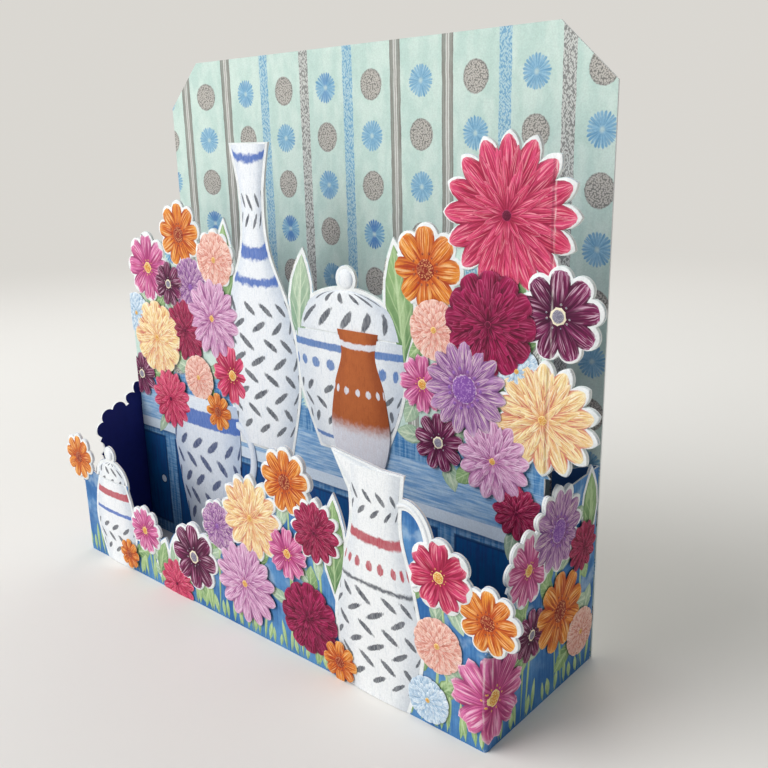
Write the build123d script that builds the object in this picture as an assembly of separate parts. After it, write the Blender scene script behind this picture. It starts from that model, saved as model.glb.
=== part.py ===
"""Fold-flat greeting card: a flat back panel with two die-cut layers of board standing in front of it."""

import os
from dataclasses import dataclass
from math import cos, radians, sin

from build123d import *

# Driving dimensions, in millimetres
BOARD = 0.5  # thickness of the printed board
FOLD_INSIDE = 0.3  # inside radius of every creased fold
BORDER = 1.0  # white margin between a printed motif and the cut line
WIDTH = 150.0  # front panel and back panel, side to side
FRONT_BAY = 21.75  # clear depth from the front panel to the middle layer
REAR_BAY = 21.75  # clear depth from the middle layer to the back panel

BACK_HEIGHT = 145.0
BACK_CUT_WIDTH = 13.5  # slanted top corners of the back panel
BACK_CUT_HEIGHT = 12.5

CORNER_HEIGHT = 23.0  # where the front corner folds end, below the corner flowers
WALL_HEIGHT = 51.0  # highest point of the side walls
WALL_REAR_DROP = 1.5  # side walls where they meet the back panel, below their highest point
FLAP_WIDTH = 12.0  # glue flaps of the side walls on the back panel
TAB_WIDTH = 14.0  # glue tabs of the middle layer on the side walls
TAB_FOOT = 3.0  # bottom of the glue tabs and flaps
TAB_DROP = 9.0  # top of the glue tabs, below the side walls' highest point
TAPER = 4.0  # slant at the ends of tabs and flaps
OVERHANG_GAP = 2.2  # room between the right wall and the flowers that reach out over it
CREASE_DEPTH = 0.12  # score line across those flowers
CREASE_RADIUS = 0.35

# Planes of the faces, worked out from the sizes above; the middle layer stands on Y = 0
FOLD_RADIUS = FOLD_INSIDE + BOARD
LEFT = -WIDTH / 2
RIGHT = WIDTH / 2
MIDDLE_FACE = -BOARD / 2
FRONT_FACE = MIDDLE_FACE - FRONT_BAY - BOARD
BACK_FACE = BOARD / 2 + REAR_BAY
WALL_INSIDE = RIGHT - BOARD
WALL_REAR_HEIGHT = WALL_HEIGHT - WALL_REAR_DROP
OVERHANG_FOOT = WALL_HEIGHT + OVERHANG_GAP

# Shape of the cut lines, as shares of the flower's own radius or of one petal's angle
ROUND_VALLEY = 0.82
POINTED_VALLEY = 0.76
POINTED_SHOULDER = 0.36
FIRST_PETAL = 90


@dataclass(frozen=True)
class Flower:
    """One printed flower that a cut line follows."""

    across: float
    up: float
    radius: float
    petals: int
    pointed: bool = False


@dataclass(frozen=True)
class Leaf:
    """One printed leaf that a cut line follows."""

    foot: tuple
    tip: tuple
    belly: float


# Flowers that lean out past the front corner folds
CORNER_RADIUS = 6.6
CORNER_PETALS = 9
CORNER_LEAN = 0.5  # centre of the flower, outside the fold
CORNER_UP = CORNER_HEIGHT + CORNER_RADIUS + BORDER

FRONT_FLOWERS = [
    Flower(LEFT - CORNER_LEAN, CORNER_UP, CORNER_RADIUS, CORNER_PETALS),
    Flower(LEFT + 32, 15.5, 6.5, 9),
    Flower(-20, 14.5, 9, 8),
    Flower(-8.5, 27, 6.2, 10),
    Flower(5, 33, 10.5, 13, pointed=True),
    Flower(18.5, 46, 7.6, 9),
    Flower(28, 36, 7.4, 12, pointed=True),
    Flower(RIGHT - 11.5, 36.5, 7.4, 7),
    Flower(RIGHT + CORNER_LEAN, CORNER_UP, CORNER_RADIUS, CORNER_PETALS),
]
MIDDLE_FLOWERS = [
    Flower(LEFT + 12.5, 87, 9.5, 8),
    Flower(LEFT + 29, 97.5, 8.6, 9),
    Flower(LEFT + 44.5, 91.5, 7.4, 10),
    Flower(RIGHT - 32, 94.5, 9.2, 8),
    Flower(RIGHT - 11, 107, 15.4, 16, pointed=True),
    Flower(RIGHT + 1.2, 88, 8.8, 9),
    Flower(RIGHT - 1.5, OVERHANG_FOOT + 13, 11.6, 14, pointed=True),
]
WALL_FLOWERS = [
    Flower(FRONT_FACE + 14.5, WALL_HEIGHT - 15, 7.6, 9),
    Flower(FRONT_FACE + 26, WALL_HEIGHT - 10.2, 9.2, 12, pointed=True),
]

FRONT_LEAVES = [
    Leaf((-38, 2), (-33.5, 16), 3.4),
    Leaf((-30, 2), (-28.5, 19), 3.6),
    Leaf((33, 20), (33.5, 47), 4.2),
]
MIDDLE_LEAVES = [
    Leaf((-29, 70), (-26, 103), 5.0),
    Leaf((1, 70), (4, 97), 4.6),
    Leaf((36.5, 70), (33.5, 101), 5.0),
]
WALL_LEAVES = [Leaf((FRONT_FACE + 40, WALL_HEIGHT - 20), (FRONT_FACE + 40.6, WALL_HEIGHT), 4.0)]

# Jars, from foot to lip: (half width, height), with the border; lids and knobs as half sizes
LIDDED_JAR_ACROSS = LEFT + 16.5
LIDDED_JAR = [(6.8, 0), (10.6, 12), (9.4, 21), (7.2, 27)]
LIDDED_JAR_LID = (8.2, 6.4)
LIDDED_JAR_KNOB = 2.7
WATER_JUG_ACROSS = RIGHT - 29
WATER_JUG = [(9, 0), (13.2, 15), (10.8, 31), (7.6, 43), (8.4, 56)]
WATER_JUG_SPOUT = [(-7.6, 49), (-12.6, 58), (2, 56)]
WATER_JUG_HANDLE = (8.5, 40.5, 7.5, 10.5)  # across, up, half width, half height
TALL_VASE_ACROSS = -14.0
TALL_VASE = [(11, 40), (15.6, 62), (12.8, 80), (6, 95), (5, 109), (7.6, 122)]
TUREEN_ACROSS = 18.5
TUREEN = [(11, 46), (17.6, 62), (19.4, 77)]
TUREEN_LID = (18.4, 11.5)
TUREEN_KNOB = 3.4

# Plain board behind the motifs: (share of the way across the panel, height)
FRONT_GROUND = [
    (0, CORNER_UP),
    (0.2, 16),
    (0.26, 9.5),
    (0.32, 10),
    (0.48, 27),
    (0.63, 36),
    (0.78, 36),
    (1, CORNER_UP),
]
MIDDLE_GROUND = [(0, 76), (0.14, 84), (0.4, 80), (0.66, 82), (0.8, 84), (1, OVERHANG_FOOT)]
WALL_GROUND = [
    (0, CORNER_UP),
    (0.22, CORNER_UP),
    (0.5, WALL_HEIGHT - 8.5),
    (0.66, WALL_HEIGHT - 2.5),
    (1, WALL_REAR_HEIGHT),
]


def polar(radius, angle):
    """Point at a radius and an angle in degrees."""
    return (radius * cos(radians(angle)), radius * sin(radians(angle)))


def flower_cut(flower):
    """Cut line round a flower: one arc over a round petal, two arcs to the tip of a pointed one."""
    step = 360 / flower.petals
    tip = flower.radius + BORDER
    edges = []
    for petal in range(flower.petals):
        middle = FIRST_PETAL + petal * step
        if flower.pointed:
            valley = tip * POINTED_VALLEY
            shoulder = (tip + valley) / 2
            for side in (-1, 1):
                start = polar(valley, middle + side * step / 2)
                belly = polar(shoulder, middle + side * step * POINTED_SHOULDER)
                edges.append(ThreePointArc(start, belly, polar(tip, middle)))
        else:
            valley = tip * ROUND_VALLEY
            start = polar(valley, middle - step / 2)
            edges.append(ThreePointArc(start, polar(tip, middle), polar(valley, middle + step / 2)))
    return Pos(flower.across, flower.up) * make_face(edges)


def leaf_cut(leaf):
    """Cut line round a leaf: two equal arcs from foot to tip."""
    foot, tip = Vector(*leaf.foot), Vector(*leaf.tip)
    axis = tip - foot
    side = Vector(-axis.Y, axis.X).normalized() * leaf.belly
    return make_face([ThreePointArc(foot, (foot + tip) / 2 + way * side, tip) for way in (-1, 1)])


def body_cut(profile):
    """Cut line round a jar's body: a curve through its half profile, mirrored about its axis."""
    side = Spline(*profile)
    (foot, bottom), (lip, top) = profile[0], profile[-1]
    ends = [Line((-foot, bottom), (foot, bottom)), Line((-lip, top), (lip, top))]
    return make_face([side, mirror(side, Plane.YZ), *ends])


def lid_cut(rim_height, lid, knob):
    """Cut line round a domed lid and its round knob, on a rim at a height."""
    half_width, half_height = lid
    top = Pos(0, half_height + knob / 2) * Circle(knob)
    return Pos(0, rim_height) * (Ellipse(half_width, half_height) + top)


def lidded_jar_cut():
    """Cut line round the small lidded jar."""
    lid = lid_cut(LIDDED_JAR[-1][1], LIDDED_JAR_LID, LIDDED_JAR_KNOB)
    return Pos(LIDDED_JAR_ACROSS, 0) * (body_cut(LIDDED_JAR) + lid)


def water_jug_cut():
    """Cut line round the water jug with its spout and handle."""
    across, up, half_width, half_height = WATER_JUG_HANDLE
    handle = Pos(across, up) * Ellipse(half_width, half_height)
    spout = make_face(Polyline(*WATER_JUG_SPOUT, close=True))
    return Pos(WATER_JUG_ACROSS, 0) * (body_cut(WATER_JUG) + spout + handle)


def tureen_cut():
    """Cut line round the covered bowl."""
    return Pos(TUREEN_ACROSS, 0) * (body_cut(TUREEN) + lid_cut(TUREEN[-1][1], TUREEN_LID, TUREEN_KNOB))


def ground_cut(tops, start, end):
    """Plain board between two sides, from the floor up to a line through the given points."""
    line = [(start + share * (end - start), height) for share, height in tops]
    return make_face(Polyline((start, 0), *line, (end, 0), close=True))


def block(left, right, bottom, top):
    """Upright rectangle between two sides and two heights."""
    return Pos((left + right) / 2, (bottom + top) / 2) * Rectangle(right - left, top - bottom)


def joined(shapes):
    """One face with the shapes' common outer edge."""
    whole = Sketch() + shapes
    return make_face(whole.face().outer_wire().edges())


def across_sheet(front, face):
    """Board that faces the viewer, from its front face back by its thickness."""
    plane = Plane(origin=(0, front, 0), x_dir=(1, 0, 0), z_dir=(0, -1, 0))
    return extrude(plane * face, amount=BOARD, dir=(0, 1, 0))


def side_sheet(inside, face):
    """Board that faces sideways, from its inner face out by its thickness."""
    plane = Plane(origin=(inside, 0, 0), x_dir=(0, 1, 0), z_dir=(1, 0, 0))
    return extrude(plane * face, amount=BOARD, dir=(1, 0, 0))


def right_fold(outside, face, way, bottom, top):
    """Quarter-round fold on the right, from a face across the card to a side behind (1) or before it (-1)."""
    centre = Pos(outside - FOLD_RADIUS, face + way * FOLD_RADIUS)
    quarter = Pos(FOLD_RADIUS / 2, -way * FOLD_RADIUS / 2) * Rectangle(FOLD_RADIUS, FOLD_RADIUS)
    plan = centre * ((Circle(FOLD_RADIUS) - Circle(FOLD_INSIDE)) & quarter)
    return extrude(Pos(0, 0, bottom) * plan, amount=top - bottom, dir=(0, 0, 1))


def tab_cut(root, tip, bottom, top):
    """Glue tab with slanted ends, from its fold to its free edge."""
    slanted = [(tip, top - TAPER), (tip, bottom + TAPER)]
    return make_face(Polyline((root, bottom), (root, top), *slanted, close=True))


def both_sides(solids):
    """Solids of the right side, with their mirror images on the left."""
    return [half for solid in solids for half in (solid, mirror(solid, Plane.YZ))]


def make_back_panel():
    """Back panel: a flat sheet with two slanted top corners."""
    side, cut = RIGHT, RIGHT - BACK_CUT_WIDTH
    shoulder = BACK_HEIGHT - BACK_CUT_HEIGHT
    right = [(side, 0), (side, shoulder), (cut, BACK_HEIGHT)]
    left = [(-across, up) for across, up in reversed(right)]
    return across_sheet(BACK_FACE, make_face(Polyline(*right, *left, close=True)))


def front_outline():
    """Front panel: jars, leaves and flowers over plain board, with two flowers past the corner folds."""
    flowers = [flower_cut(flower) for flower in FRONT_FLOWERS]
    leaves = [leaf_cut(leaf) for leaf in FRONT_LEAVES]
    ground = ground_cut(FRONT_GROUND, LEFT, RIGHT)
    whole = joined([ground, lidded_jar_cut(), water_jug_cut(), *flowers, *leaves])
    edge = RIGHT - FOLD_RADIUS
    between_folds = block(-edge, edge, 0, BACK_HEIGHT)
    return whole & (between_folds + block(2 * LEFT, 2 * RIGHT, CORNER_HEIGHT, BACK_HEIGHT))


def wall_outline():
    """Side wall between its folds, cut away round the corner flower, which comes out of the same board."""
    start, end = FRONT_FACE + FOLD_RADIUS, BACK_FACE - FOLD_RADIUS
    flowers = [flower_cut(flower) for flower in WALL_FLOWERS]
    leaves = [leaf_cut(leaf) for leaf in WALL_LEAVES]
    whole = joined([ground_cut(WALL_GROUND, start, end), *flowers, *leaves])
    corner = flower_cut(Flower(FRONT_FACE + CORNER_LEAN, CORNER_UP, CORNER_RADIUS, CORNER_PETALS))
    return (whole & block(start, end, 0, WALL_HEIGHT)) - corner


def make_front_layer():
    """Front layer: one sheet folded into the front panel, two side walls and two glue flaps."""
    wall = side_sheet(WALL_INSIDE, wall_outline())
    front_fold = right_fold(RIGHT, FRONT_FACE, 1, 0, CORNER_HEIGHT)
    rear_fold = right_fold(RIGHT, BACK_FACE, -1, TAB_FOOT, WALL_REAR_HEIGHT)
    flap_face = tab_cut(RIGHT - FOLD_RADIUS, RIGHT - FLAP_WIDTH, TAB_FOOT, WALL_REAR_HEIGHT)
    flap = across_sheet(BACK_FACE - BOARD, flap_face)
    return across_sheet(FRONT_FACE, front_outline()) + both_sides([wall, front_fold, rear_fold, flap])


def middle_outline():
    """Middle layer: vase, tureen, leaves and flowers over plain board, reaching out over the right wall."""
    flowers = [flower_cut(flower) for flower in MIDDLE_FLOWERS]
    leaves = [leaf_cut(leaf) for leaf in MIDDLE_LEAVES]
    vase = Pos(TALL_VASE_ACROSS, 0) * body_cut(TALL_VASE)
    whole = joined([ground_cut(MIDDLE_GROUND, LEFT, RIGHT), vase, tureen_cut(), *flowers, *leaves])
    edge = WALL_INSIDE - FOLD_RADIUS
    between_walls = block(-edge, edge, 0, BACK_HEIGHT)
    return whole & (between_walls + block(-edge, 2 * RIGHT, OVERHANG_FOOT, BACK_HEIGHT))


def make_middle_layer():
    """Middle layer: one sheet with a glue tab folded back at each end and a score line at the right wall."""
    panel = across_sheet(MIDDLE_FACE, middle_outline())
    rod = Cylinder(CREASE_RADIUS, BACK_HEIGHT - OVERHANG_FOOT, align=(Align.CENTER, Align.CENTER, Align.MIN))
    score = Pos(WALL_INSIDE, MIDDLE_FACE - CREASE_RADIUS + CREASE_DEPTH, OVERHANG_FOOT) * rod
    tab_top = WALL_HEIGHT - TAB_DROP
    tab_fold = right_fold(WALL_INSIDE, MIDDLE_FACE, 1, TAB_FOOT, tab_top)
    tab_face = tab_cut(MIDDLE_FACE + FOLD_RADIUS, MIDDLE_FACE + TAB_WIDTH, TAB_FOOT, tab_top)
    return panel - score + both_sides([tab_fold, side_sheet(WALL_INSIDE - BOARD, tab_face)])


PARTS = {
    "back_panel": make_back_panel,
    "front_layer": make_front_layer,
    "middle_layer": make_middle_layer,
}


def main():
    """Writes one STEP file for each sheet of the card."""
    os.makedirs("parts", exist_ok=True)
    for name, make in PARTS.items():
        solid = make().solid()
        solid.label = name
        export_step(solid, f"parts/{name}.step")


main()
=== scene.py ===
"""Looks of a fold-flat greeting card: embossed board, printed with flowers, leaves and jars."""

import logging
import math
import random
from dataclasses import dataclass, field, replace
from enum import Enum
from functools import cache, partial
from typing import Callable, Iterable, Sequence

import bmesh
import bpy
from mathutils import Matrix, Vector
from mathutils.bvhtree import BVHTree

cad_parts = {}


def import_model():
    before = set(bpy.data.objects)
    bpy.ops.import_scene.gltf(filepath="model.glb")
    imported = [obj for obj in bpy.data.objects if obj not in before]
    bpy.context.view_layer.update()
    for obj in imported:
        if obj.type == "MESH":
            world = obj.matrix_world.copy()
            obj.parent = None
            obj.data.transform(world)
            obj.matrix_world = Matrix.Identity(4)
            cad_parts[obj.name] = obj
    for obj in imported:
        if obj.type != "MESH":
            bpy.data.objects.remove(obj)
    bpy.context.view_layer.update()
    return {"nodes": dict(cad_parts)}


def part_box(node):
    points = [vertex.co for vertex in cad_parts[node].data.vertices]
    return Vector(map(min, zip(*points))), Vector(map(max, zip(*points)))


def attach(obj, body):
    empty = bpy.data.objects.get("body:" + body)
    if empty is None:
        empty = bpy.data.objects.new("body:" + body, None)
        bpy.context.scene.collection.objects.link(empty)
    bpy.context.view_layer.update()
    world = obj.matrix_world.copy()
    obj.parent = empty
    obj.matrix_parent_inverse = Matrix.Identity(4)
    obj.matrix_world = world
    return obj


LOG = logging.getLogger("greeting_card")
MM = 0.001
BODY = "root"
PRINT_UV = "print"
PETAL_TONE = "tone"
TAU = 2 * math.pi
QUARTER_TURN = math.pi / 2
SAME_PLACE = 1e-4
ON_PLANE = 1e-5

# The board's own surface under every print
TOOTH_SCALE = 2.6
PULP_SCALE = 0.55
TOOTH_DEPTH = 0.05
BUMP_STRENGTH = 0.5
MATT = 0.62
MATT_SPREAD = 0.16
BOARD_SHINE = 0.22
FOLD_INSIDE = 0.3

# How far a face has to look one way to count as facing it, and to count as upright
FACING = 0.5
UPRIGHT = 0.9

# Relief of the motifs, in millimetres
BLEED = 0.03
BORDER = 1.0
LEVEL_STEP = 0.12
PLATE_RISE = 0.13
SINK = 0.05
RIM_BEVEL = 0.09
PETAL_GROWTH = 0.4
PETAL_MARGIN = 0.25
PRINT_SHIFT = Vector((-0.22, -0.2, 0))
SHARP_ANGLE = 50.0
DRAW_STEPS = 100

# Cut lines, as shares of a flower's radius or of one petal's angle
ROUND_VALLEY = 0.82
POINTED_VALLEY = 0.76
POINTED_SHOULDER = 0.36
HIDDEN_PLATE = 0.72
FIRST_PETAL = QUARTER_TURN

Shape = bmesh.types.BMesh
Span = tuple[float, float]
Place = tuple[float, float, float]
PlaceRule = Callable[[float, float], Place]


def paint_colour(code: str) -> Place:
    """Turns a six-figure screen colour into the linear colour that a shader takes.

    Args:
        code: Red, green and blue as six hexadecimal figures.

    Returns:
        Linear red, green and blue.
    """
    shares = [int(code[place : place + 2], 16) / 255 for place in (0, 2, 4)]
    red, green, blue = [
        share / 12.92 if share <= 0.04045 else ((share + 0.055) / 1.055) ** 2.4 for share in shares
    ]
    return (red, green, blue)


def maths(operation: str) -> "Callable[..., Tone]":
    """Makes a method of Tone that adds one Math node.

    Args:
        operation: What the node works out.

    Returns:
        A method that takes the tone and the node's other values.
    """

    def add_node(tone: "Tone", *others: "Tone | float") -> "Tone":
        """Adds the node."""
        return tone.paint.node("ShaderNodeMath", {"operation": operation}, dict(enumerate((tone, *others))))

    return add_node


class Tone:
    """A number that changes over a surface; arithmetic on it adds Math nodes."""

    def __init__(self, paint: "Paint", socket: bpy.types.NodeSocket) -> None:
        """Keeps the socket and the paint that it belongs to."""
        self.paint = paint
        self.socket = socket

    __add__ = __radd__ = maths("ADD")
    __mul__ = __rmul__ = maths("MULTIPLY")
    __sub__ = maths("SUBTRACT")
    __truediv__ = maths("DIVIDE")
    __mod__ = maths("FLOORED_MODULO")
    __gt__ = maths("GREATER_THAN")
    __lt__ = maths("LESS_THAN")
    __abs__ = maths("ABSOLUTE")
    floor = maths("FLOOR")
    root = maths("SQRT")
    sine = maths("SINE")
    cosine = maths("COSINE")
    arcsine = maths("ARCSINE")
    angle = maths("ARCTAN2")
    either = maths("MAXIMUM")

    def __rsub__(self, other: float) -> "Tone":
        """Subtracts this from a number."""
        return self.paint.node("ShaderNodeMath", {"operation": "SUBTRACT"}, {0: other, 1: self})

    def reach(self, other: "Tone") -> "Tone":
        """Distance of a place that is this far across and the other far up."""
        return (self * self + other * other).root()

    def ease(self, low: float, high: float) -> "Tone":
        """Eases from zero at low to one at high."""
        settings = {"interpolation_type": "SMOOTHSTEP"}
        return self.paint.node("ShaderNodeMapRange", settings, {0: self, 1: low, 2: high})

    def fade(self, low: float, high: float) -> "Tone":
        """Eases from one at low to zero at high."""
        return 1.0 - self.ease(low, high)


class Paint:
    """One procedural print on board; wraps the material's node tree."""

    def __init__(self, name: str) -> None:
        """Starts a material with a Principled shader."""
        self.material = bpy.data.materials.new(name)
        self.material.use_nodes = True
        self.tree = self.material.node_tree
        self.shader = self.tree.nodes["Principled BSDF"]

    def feed(self, entry: bpy.types.NodeSocket, value: "Tone | float | str") -> None:
        """Links a tone to a socket, or sets the socket to a number or a colour's code.

        Args:
            entry: The socket.
            value: What goes in.
        """
        if isinstance(value, Tone):
            self.tree.links.new(value.socket, entry)
        elif isinstance(value, str):
            entry.default_value = (*paint_colour(value), 1.0)
        else:
            entry.default_value = value

    def node(
        self, kind: str, settings: dict | None = None, sockets: dict | None = None, output: int | str = 0
    ) -> Tone:
        """Adds any node.

        Args:
            kind: The node's type.
            settings: Properties to set first, such as a Math node's operation.
            sockets: Tones, numbers or colour codes for its inputs, by name or number.
            output: Name or number of the output to return.

        Returns:
            The node's output.
        """
        made = self.tree.nodes.new(kind)
        for key, value in (settings or {}).items():
            setattr(made, key, value)
        for key, value in (sockets or {}).items():
            self.feed(made.inputs[key], value)
        return Tone(self, made.outputs[output])

    def blend(
        self, first: "Tone | str", second: "Tone | str", share: "Tone | float", way: str = "MIX"
    ) -> Tone:
        """Mixes two colours by a share, plainly or by a named way of blending."""
        settings = {"data_type": "RGBA", "blend_type": way}
        return self.node("ShaderNodeMix", settings, {0: share, 6: first, 7: second}, output=2)

    def layers(self, ground: "Tone | str", *coats: "tuple[Tone | str, Tone]") -> Tone:
        """Lays colours over a ground one after the other.

        Args:
            ground: The lowest colour.
            coats: Each further colour, with its share.

        Returns:
            The colours together.
        """
        for colour, share in coats:
            ground = self.blend(ground, colour, share)
        return ground

    def split(self, vector: Tone) -> tuple[Tone, ...]:
        """Takes a place or a direction apart into three tones."""
        outputs = self.node("ShaderNodeSeparateXYZ", {}, {0: vector}).socket.node.outputs
        return tuple(Tone(self, socket) for socket in outputs)

    def vector(self, across: "Tone | float", along: "Tone | float", up: "Tone | float") -> Tone:
        """Puts three tones together as a place in a pattern."""
        return self.node("ShaderNodeCombineXYZ", {}, {0: across, 1: along, 2: up})

    def point(self) -> tuple[Tone, ...]:
        """Place on the card in millimetres, as three tones."""
        return tuple(tone * (1 / MM) for tone in self.split(self.node("ShaderNodeTexCoord", output="Object")))

    def facing(self) -> tuple[Tone, ...]:
        """Direction that the surface faces, as three tones."""
        return self.split(self.node("ShaderNodeTexCoord", output="Normal"))

    def printed(self) -> tuple[Tone, ...]:
        """Place on the print: across and along a petal, or round and out on a heart."""
        return self.split(self.node("ShaderNodeUVMap", {"uv_map": PRINT_UV}))[:2]

    def tone(self) -> Tone:
        """Chance value of one petal or stroke, from zero to one."""
        return self.node("ShaderNodeAttribute", {"attribute_name": PETAL_TONE}, output="Fac")

    def chance(self, place: Tone) -> Tone:
        """Chance value of a place in a pattern, from zero to one."""
        return self.node("ShaderNodeTexWhiteNoise", {}, {"Vector": place})

    def noise(self, place: Tone, scale: float = 1.0, detail: float = 2.0) -> Tone:
        """Cloudy variation at a place, from zero to one."""
        return self.node("ShaderNodeTexNoise", {}, {"Vector": place, "Scale": scale, "Detail": detail})

    def cells(self, place: Tone, scale: float, space: str = "3D") -> Tone:
        """Distance to the nearest of scattered points."""
        settings = {"voronoi_dimensions": space}
        return self.node("ShaderNodeTexVoronoi", settings, {"Vector": place, "Scale": scale})

    def grains(self, across: Tone, up: Tone, scale: float) -> Tone:
        """Distance to the nearest of points scattered on the sheet."""
        return self.cells(self.vector(across, up, 0.0), scale, "2D")

    def finish(self, colour: Tone, rough: float = MATT) -> bpy.types.Material:
        """Lays the print on the board's own tooth and closes the material.

        Args:
            colour: The print.
            rough: Roughness of the matt board.

        Returns:
            The finished material.
        """
        place = self.vector(*self.point())
        tooth = self.noise(place, TOOTH_SCALE, 3.0)
        pulp = self.noise(place, PULP_SCALE)
        toothed = self.blend(colour, tooth.ease(0.25, 0.75) * 0.16 + 0.86, 0.75, "MULTIPLY")
        bump = {"Strength": BUMP_STRENGTH, "Distance": TOOTH_DEPTH * MM, "Height": tooth * 0.7 + pulp * 0.3}
        looks = {
            "Base Color": self.blend(toothed, pulp, 0.18, "SOFT_LIGHT"),
            "Roughness": tooth * MATT_SPREAD + (rough - MATT_SPREAD / 2),
            "Normal": self.node("ShaderNodeBump", {}, bump),
            "Specular IOR Level": BOARD_SHINE,
        }
        for name, value in looks.items():
            self.feed(self.shader.inputs[name], value)
        return self.material


@dataclass(frozen=True)
class WearAndCreaseShading:
    """Ink rubbed off along the folds and the score line, in millimetres; along the score the pale line is
    also a painted highlight on the crease, and a dark line beside it is painted shade in the crease.
    """

    line_at: float = 74.6
    line_half: float = 0.36
    line_core: float = 0.08
    fold_top: float = 23.0
    score_bottom: float = 52.0
    crease_shade_inside: float = 0.55
    # pale: rubbed ink, and along the score line a painted highlight; dark: painted shade in the score's
    # crease
    pale: str = "efe9e2"
    dark: str = "3a2b3c"

    def print_on(self, paint: Paint, colour: Tone) -> Tone:
        """Draws the worn lines, with the painted highlight and the painted shade of the score's crease.

        Args:
            paint: The material to draw in.
            colour: The print.

        Returns:
            The print with its worn lines.
        """
        across, deep, up = paint.point()
        aside = abs(across) - self.line_at
        scored = up > self.score_bottom
        # Pale line: rubbed ink along the folds; along the score it is also a painted highlight
        line = abs(aside).fade(self.line_core, self.line_half) * (up < self.fold_top).either(scored)
        # Painted shade: a dark line just inside the score line, where the crease lies in shadow
        crease_shade = abs(aside + self.crease_shade_inside).fade(self.line_core, self.line_half) * scored
        rubbed = paint.noise(paint.vector(across * 2.0, deep * 2.0, up * 0.5), detail=4.0).ease(0.42, 0.62)
        crease_shaded_colour = paint.blend(colour, self.dark, crease_shade * 0.26)
        return paint.blend(crease_shaded_colour, self.pale, line * (rubbed * 0.34 + 0.07))


@dataclass(frozen=True)
class Strokes:
    """Brush marks on a petal or leaf: how many across and along it, and how far chance moves them."""

    across: float
    along: float
    shift: float
    drift: float
    detail: float = 2.0

    def drawn(self, paint: Paint) -> Tone:
        """Draws the marks, from zero to one.

        Args:
            paint: The material to draw in.

        Returns:
            The marks.
        """
        across, along = paint.printed()
        tone = paint.tone()
        place = paint.vector(across * self.across + tone * self.shift, along * self.along, tone * self.drift)
        return paint.noise(place, detail=self.detail)


PETAL_BRUSH = Strokes(5.0, 1.3, 90.0, 40.0, 3.0)
PETAL_HAIR = Strokes(13.0, 1.6, 70.0, 23.0)
DRY_BRUSH = Strokes(3.0, 9.0, 0.0, 55.0)
LEAF_BRUSH = Strokes(4.0, 3.0, 60.0, 31.0, 3.0)


@dataclass(frozen=True)
class Ink:
    """A named print that makes one material."""

    name: str

    def material(self) -> bpy.types.Material:
        """Makes the material."""
        raise NotImplementedError


@cache
def dressed(ink: Ink) -> bpy.types.Material:
    """Material of an ink, made once and shared."""
    return ink.material()


@dataclass(frozen=True)
class PlainInk(Ink):
    """One plain ink on board, clouded a little."""

    ink: str
    cloud: str
    cloud_scale: float = 0.35

    def material(self) -> bpy.types.Material:
        """Makes the plain print."""
        paint = Paint(self.name)
        cloud = paint.noise(paint.vector(*paint.point()), self.cloud_scale, 3.0).ease(0.35, 0.7)
        return paint.finish(paint.blend(self.ink, self.cloud, cloud))


@dataclass(frozen=True)
class PetalInk(Ink):
    """Inks of one kind of petal, from its root to its tip, with its pale margin and its dark veins, whose ink
    also paints shade in the gaps between petals.
    """

    root: str
    blade: str
    tip: str
    margin: str
    vein_and_gap_shade: str
    vein_weight: float
    margin_weight: float
    wear_and_crease_shading: WearAndCreaseShading = WearAndCreaseShading()

    def material(self) -> bpy.types.Material:
        """Makes the petal print: a wash, pale and dark brush hairs, dark gaps of printed line work and
        painted shade where petals meet, and a dry pale margin.

        Returns:
            The finished material.
        """
        paint = Paint(self.name)
        across, along = paint.printed()
        tone = paint.tone()
        side = abs(across * 2.0 - 1.0)
        brush, hair, dry = [strokes.drawn(paint) for strokes in (PETAL_BRUSH, PETAL_HAIR, DRY_BRUSH)]
        grown = along + brush * 0.3
        pale = hair.fade(0.36, 0.48) * along.ease(0.12, 0.42) * side.fade(0.6, 0.9)
        dark = hair.ease(0.5, 0.6) * (along + brush * 0.4).fade(0.5, 1.05)
        # Dark gap at the petal's sides near its root: printed line work and painted shade where the petals
        # overlap
        gap = side.ease(0.66, 1.0) * along.fade(0.55, 0.92)
        rim = (side.ease(0.7, 0.97) * along.ease(0.45, 0.8)).either(along.ease(0.9, 0.99))
        wash = paint.layers(self.root, (self.blade, grown.ease(0.12, 0.6)), (self.tip, grown.ease(0.75, 1.2)))
        wash = paint.layers(
            paint.blend(wash, brush.ease(0.25, 0.75), 0.55, "SOFT_LIGHT"),
            (self.root, tone.ease(0.4, 1.0) * 0.4),
            (self.margin, pale * (self.margin_weight * 0.8)),
            (self.vein_and_gap_shade, dark * self.vein_weight),
            (self.vein_and_gap_shade, gap * 0.8),
            (self.margin, rim * dry.ease(0.3, 0.6) * self.margin_weight),
        )
        return paint.finish(self.wear_and_crease_shading.print_on(paint, wash))


@dataclass(frozen=True)
class LeafInk(Ink):
    """Inks of one kind of leaf: shade, green and light."""

    shade: str
    green: str
    light: str
    ribs: float = 7.0

    def material(self) -> bpy.types.Material:
        """Makes the leaf print: a brushed wash with a midrib and slanting ribs.

        Returns:
            The finished material.
        """
        paint = Paint(self.name)
        across, along = paint.printed()
        side = abs(across * 2.0 - 1.0)
        brush = LEAF_BRUSH.drawn(paint)
        rib = abs((along * self.ribs - side * 1.6 + brush * 0.3) % 1.0 - 0.5).ease(0.34, 0.5)
        wash = paint.layers(
            self.shade,
            (self.green, (along + brush * 0.5).ease(0.2, 0.85)),
            (self.light, brush.ease(0.48, 0.7) * 0.7),
            (self.light, rib * 0.6),
            (self.light, side.fade(0.04, 0.14) * 0.8),
            (self.shade, side.ease(0.72, 1.0) * 0.55),
        )
        return paint.finish(wash)


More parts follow.
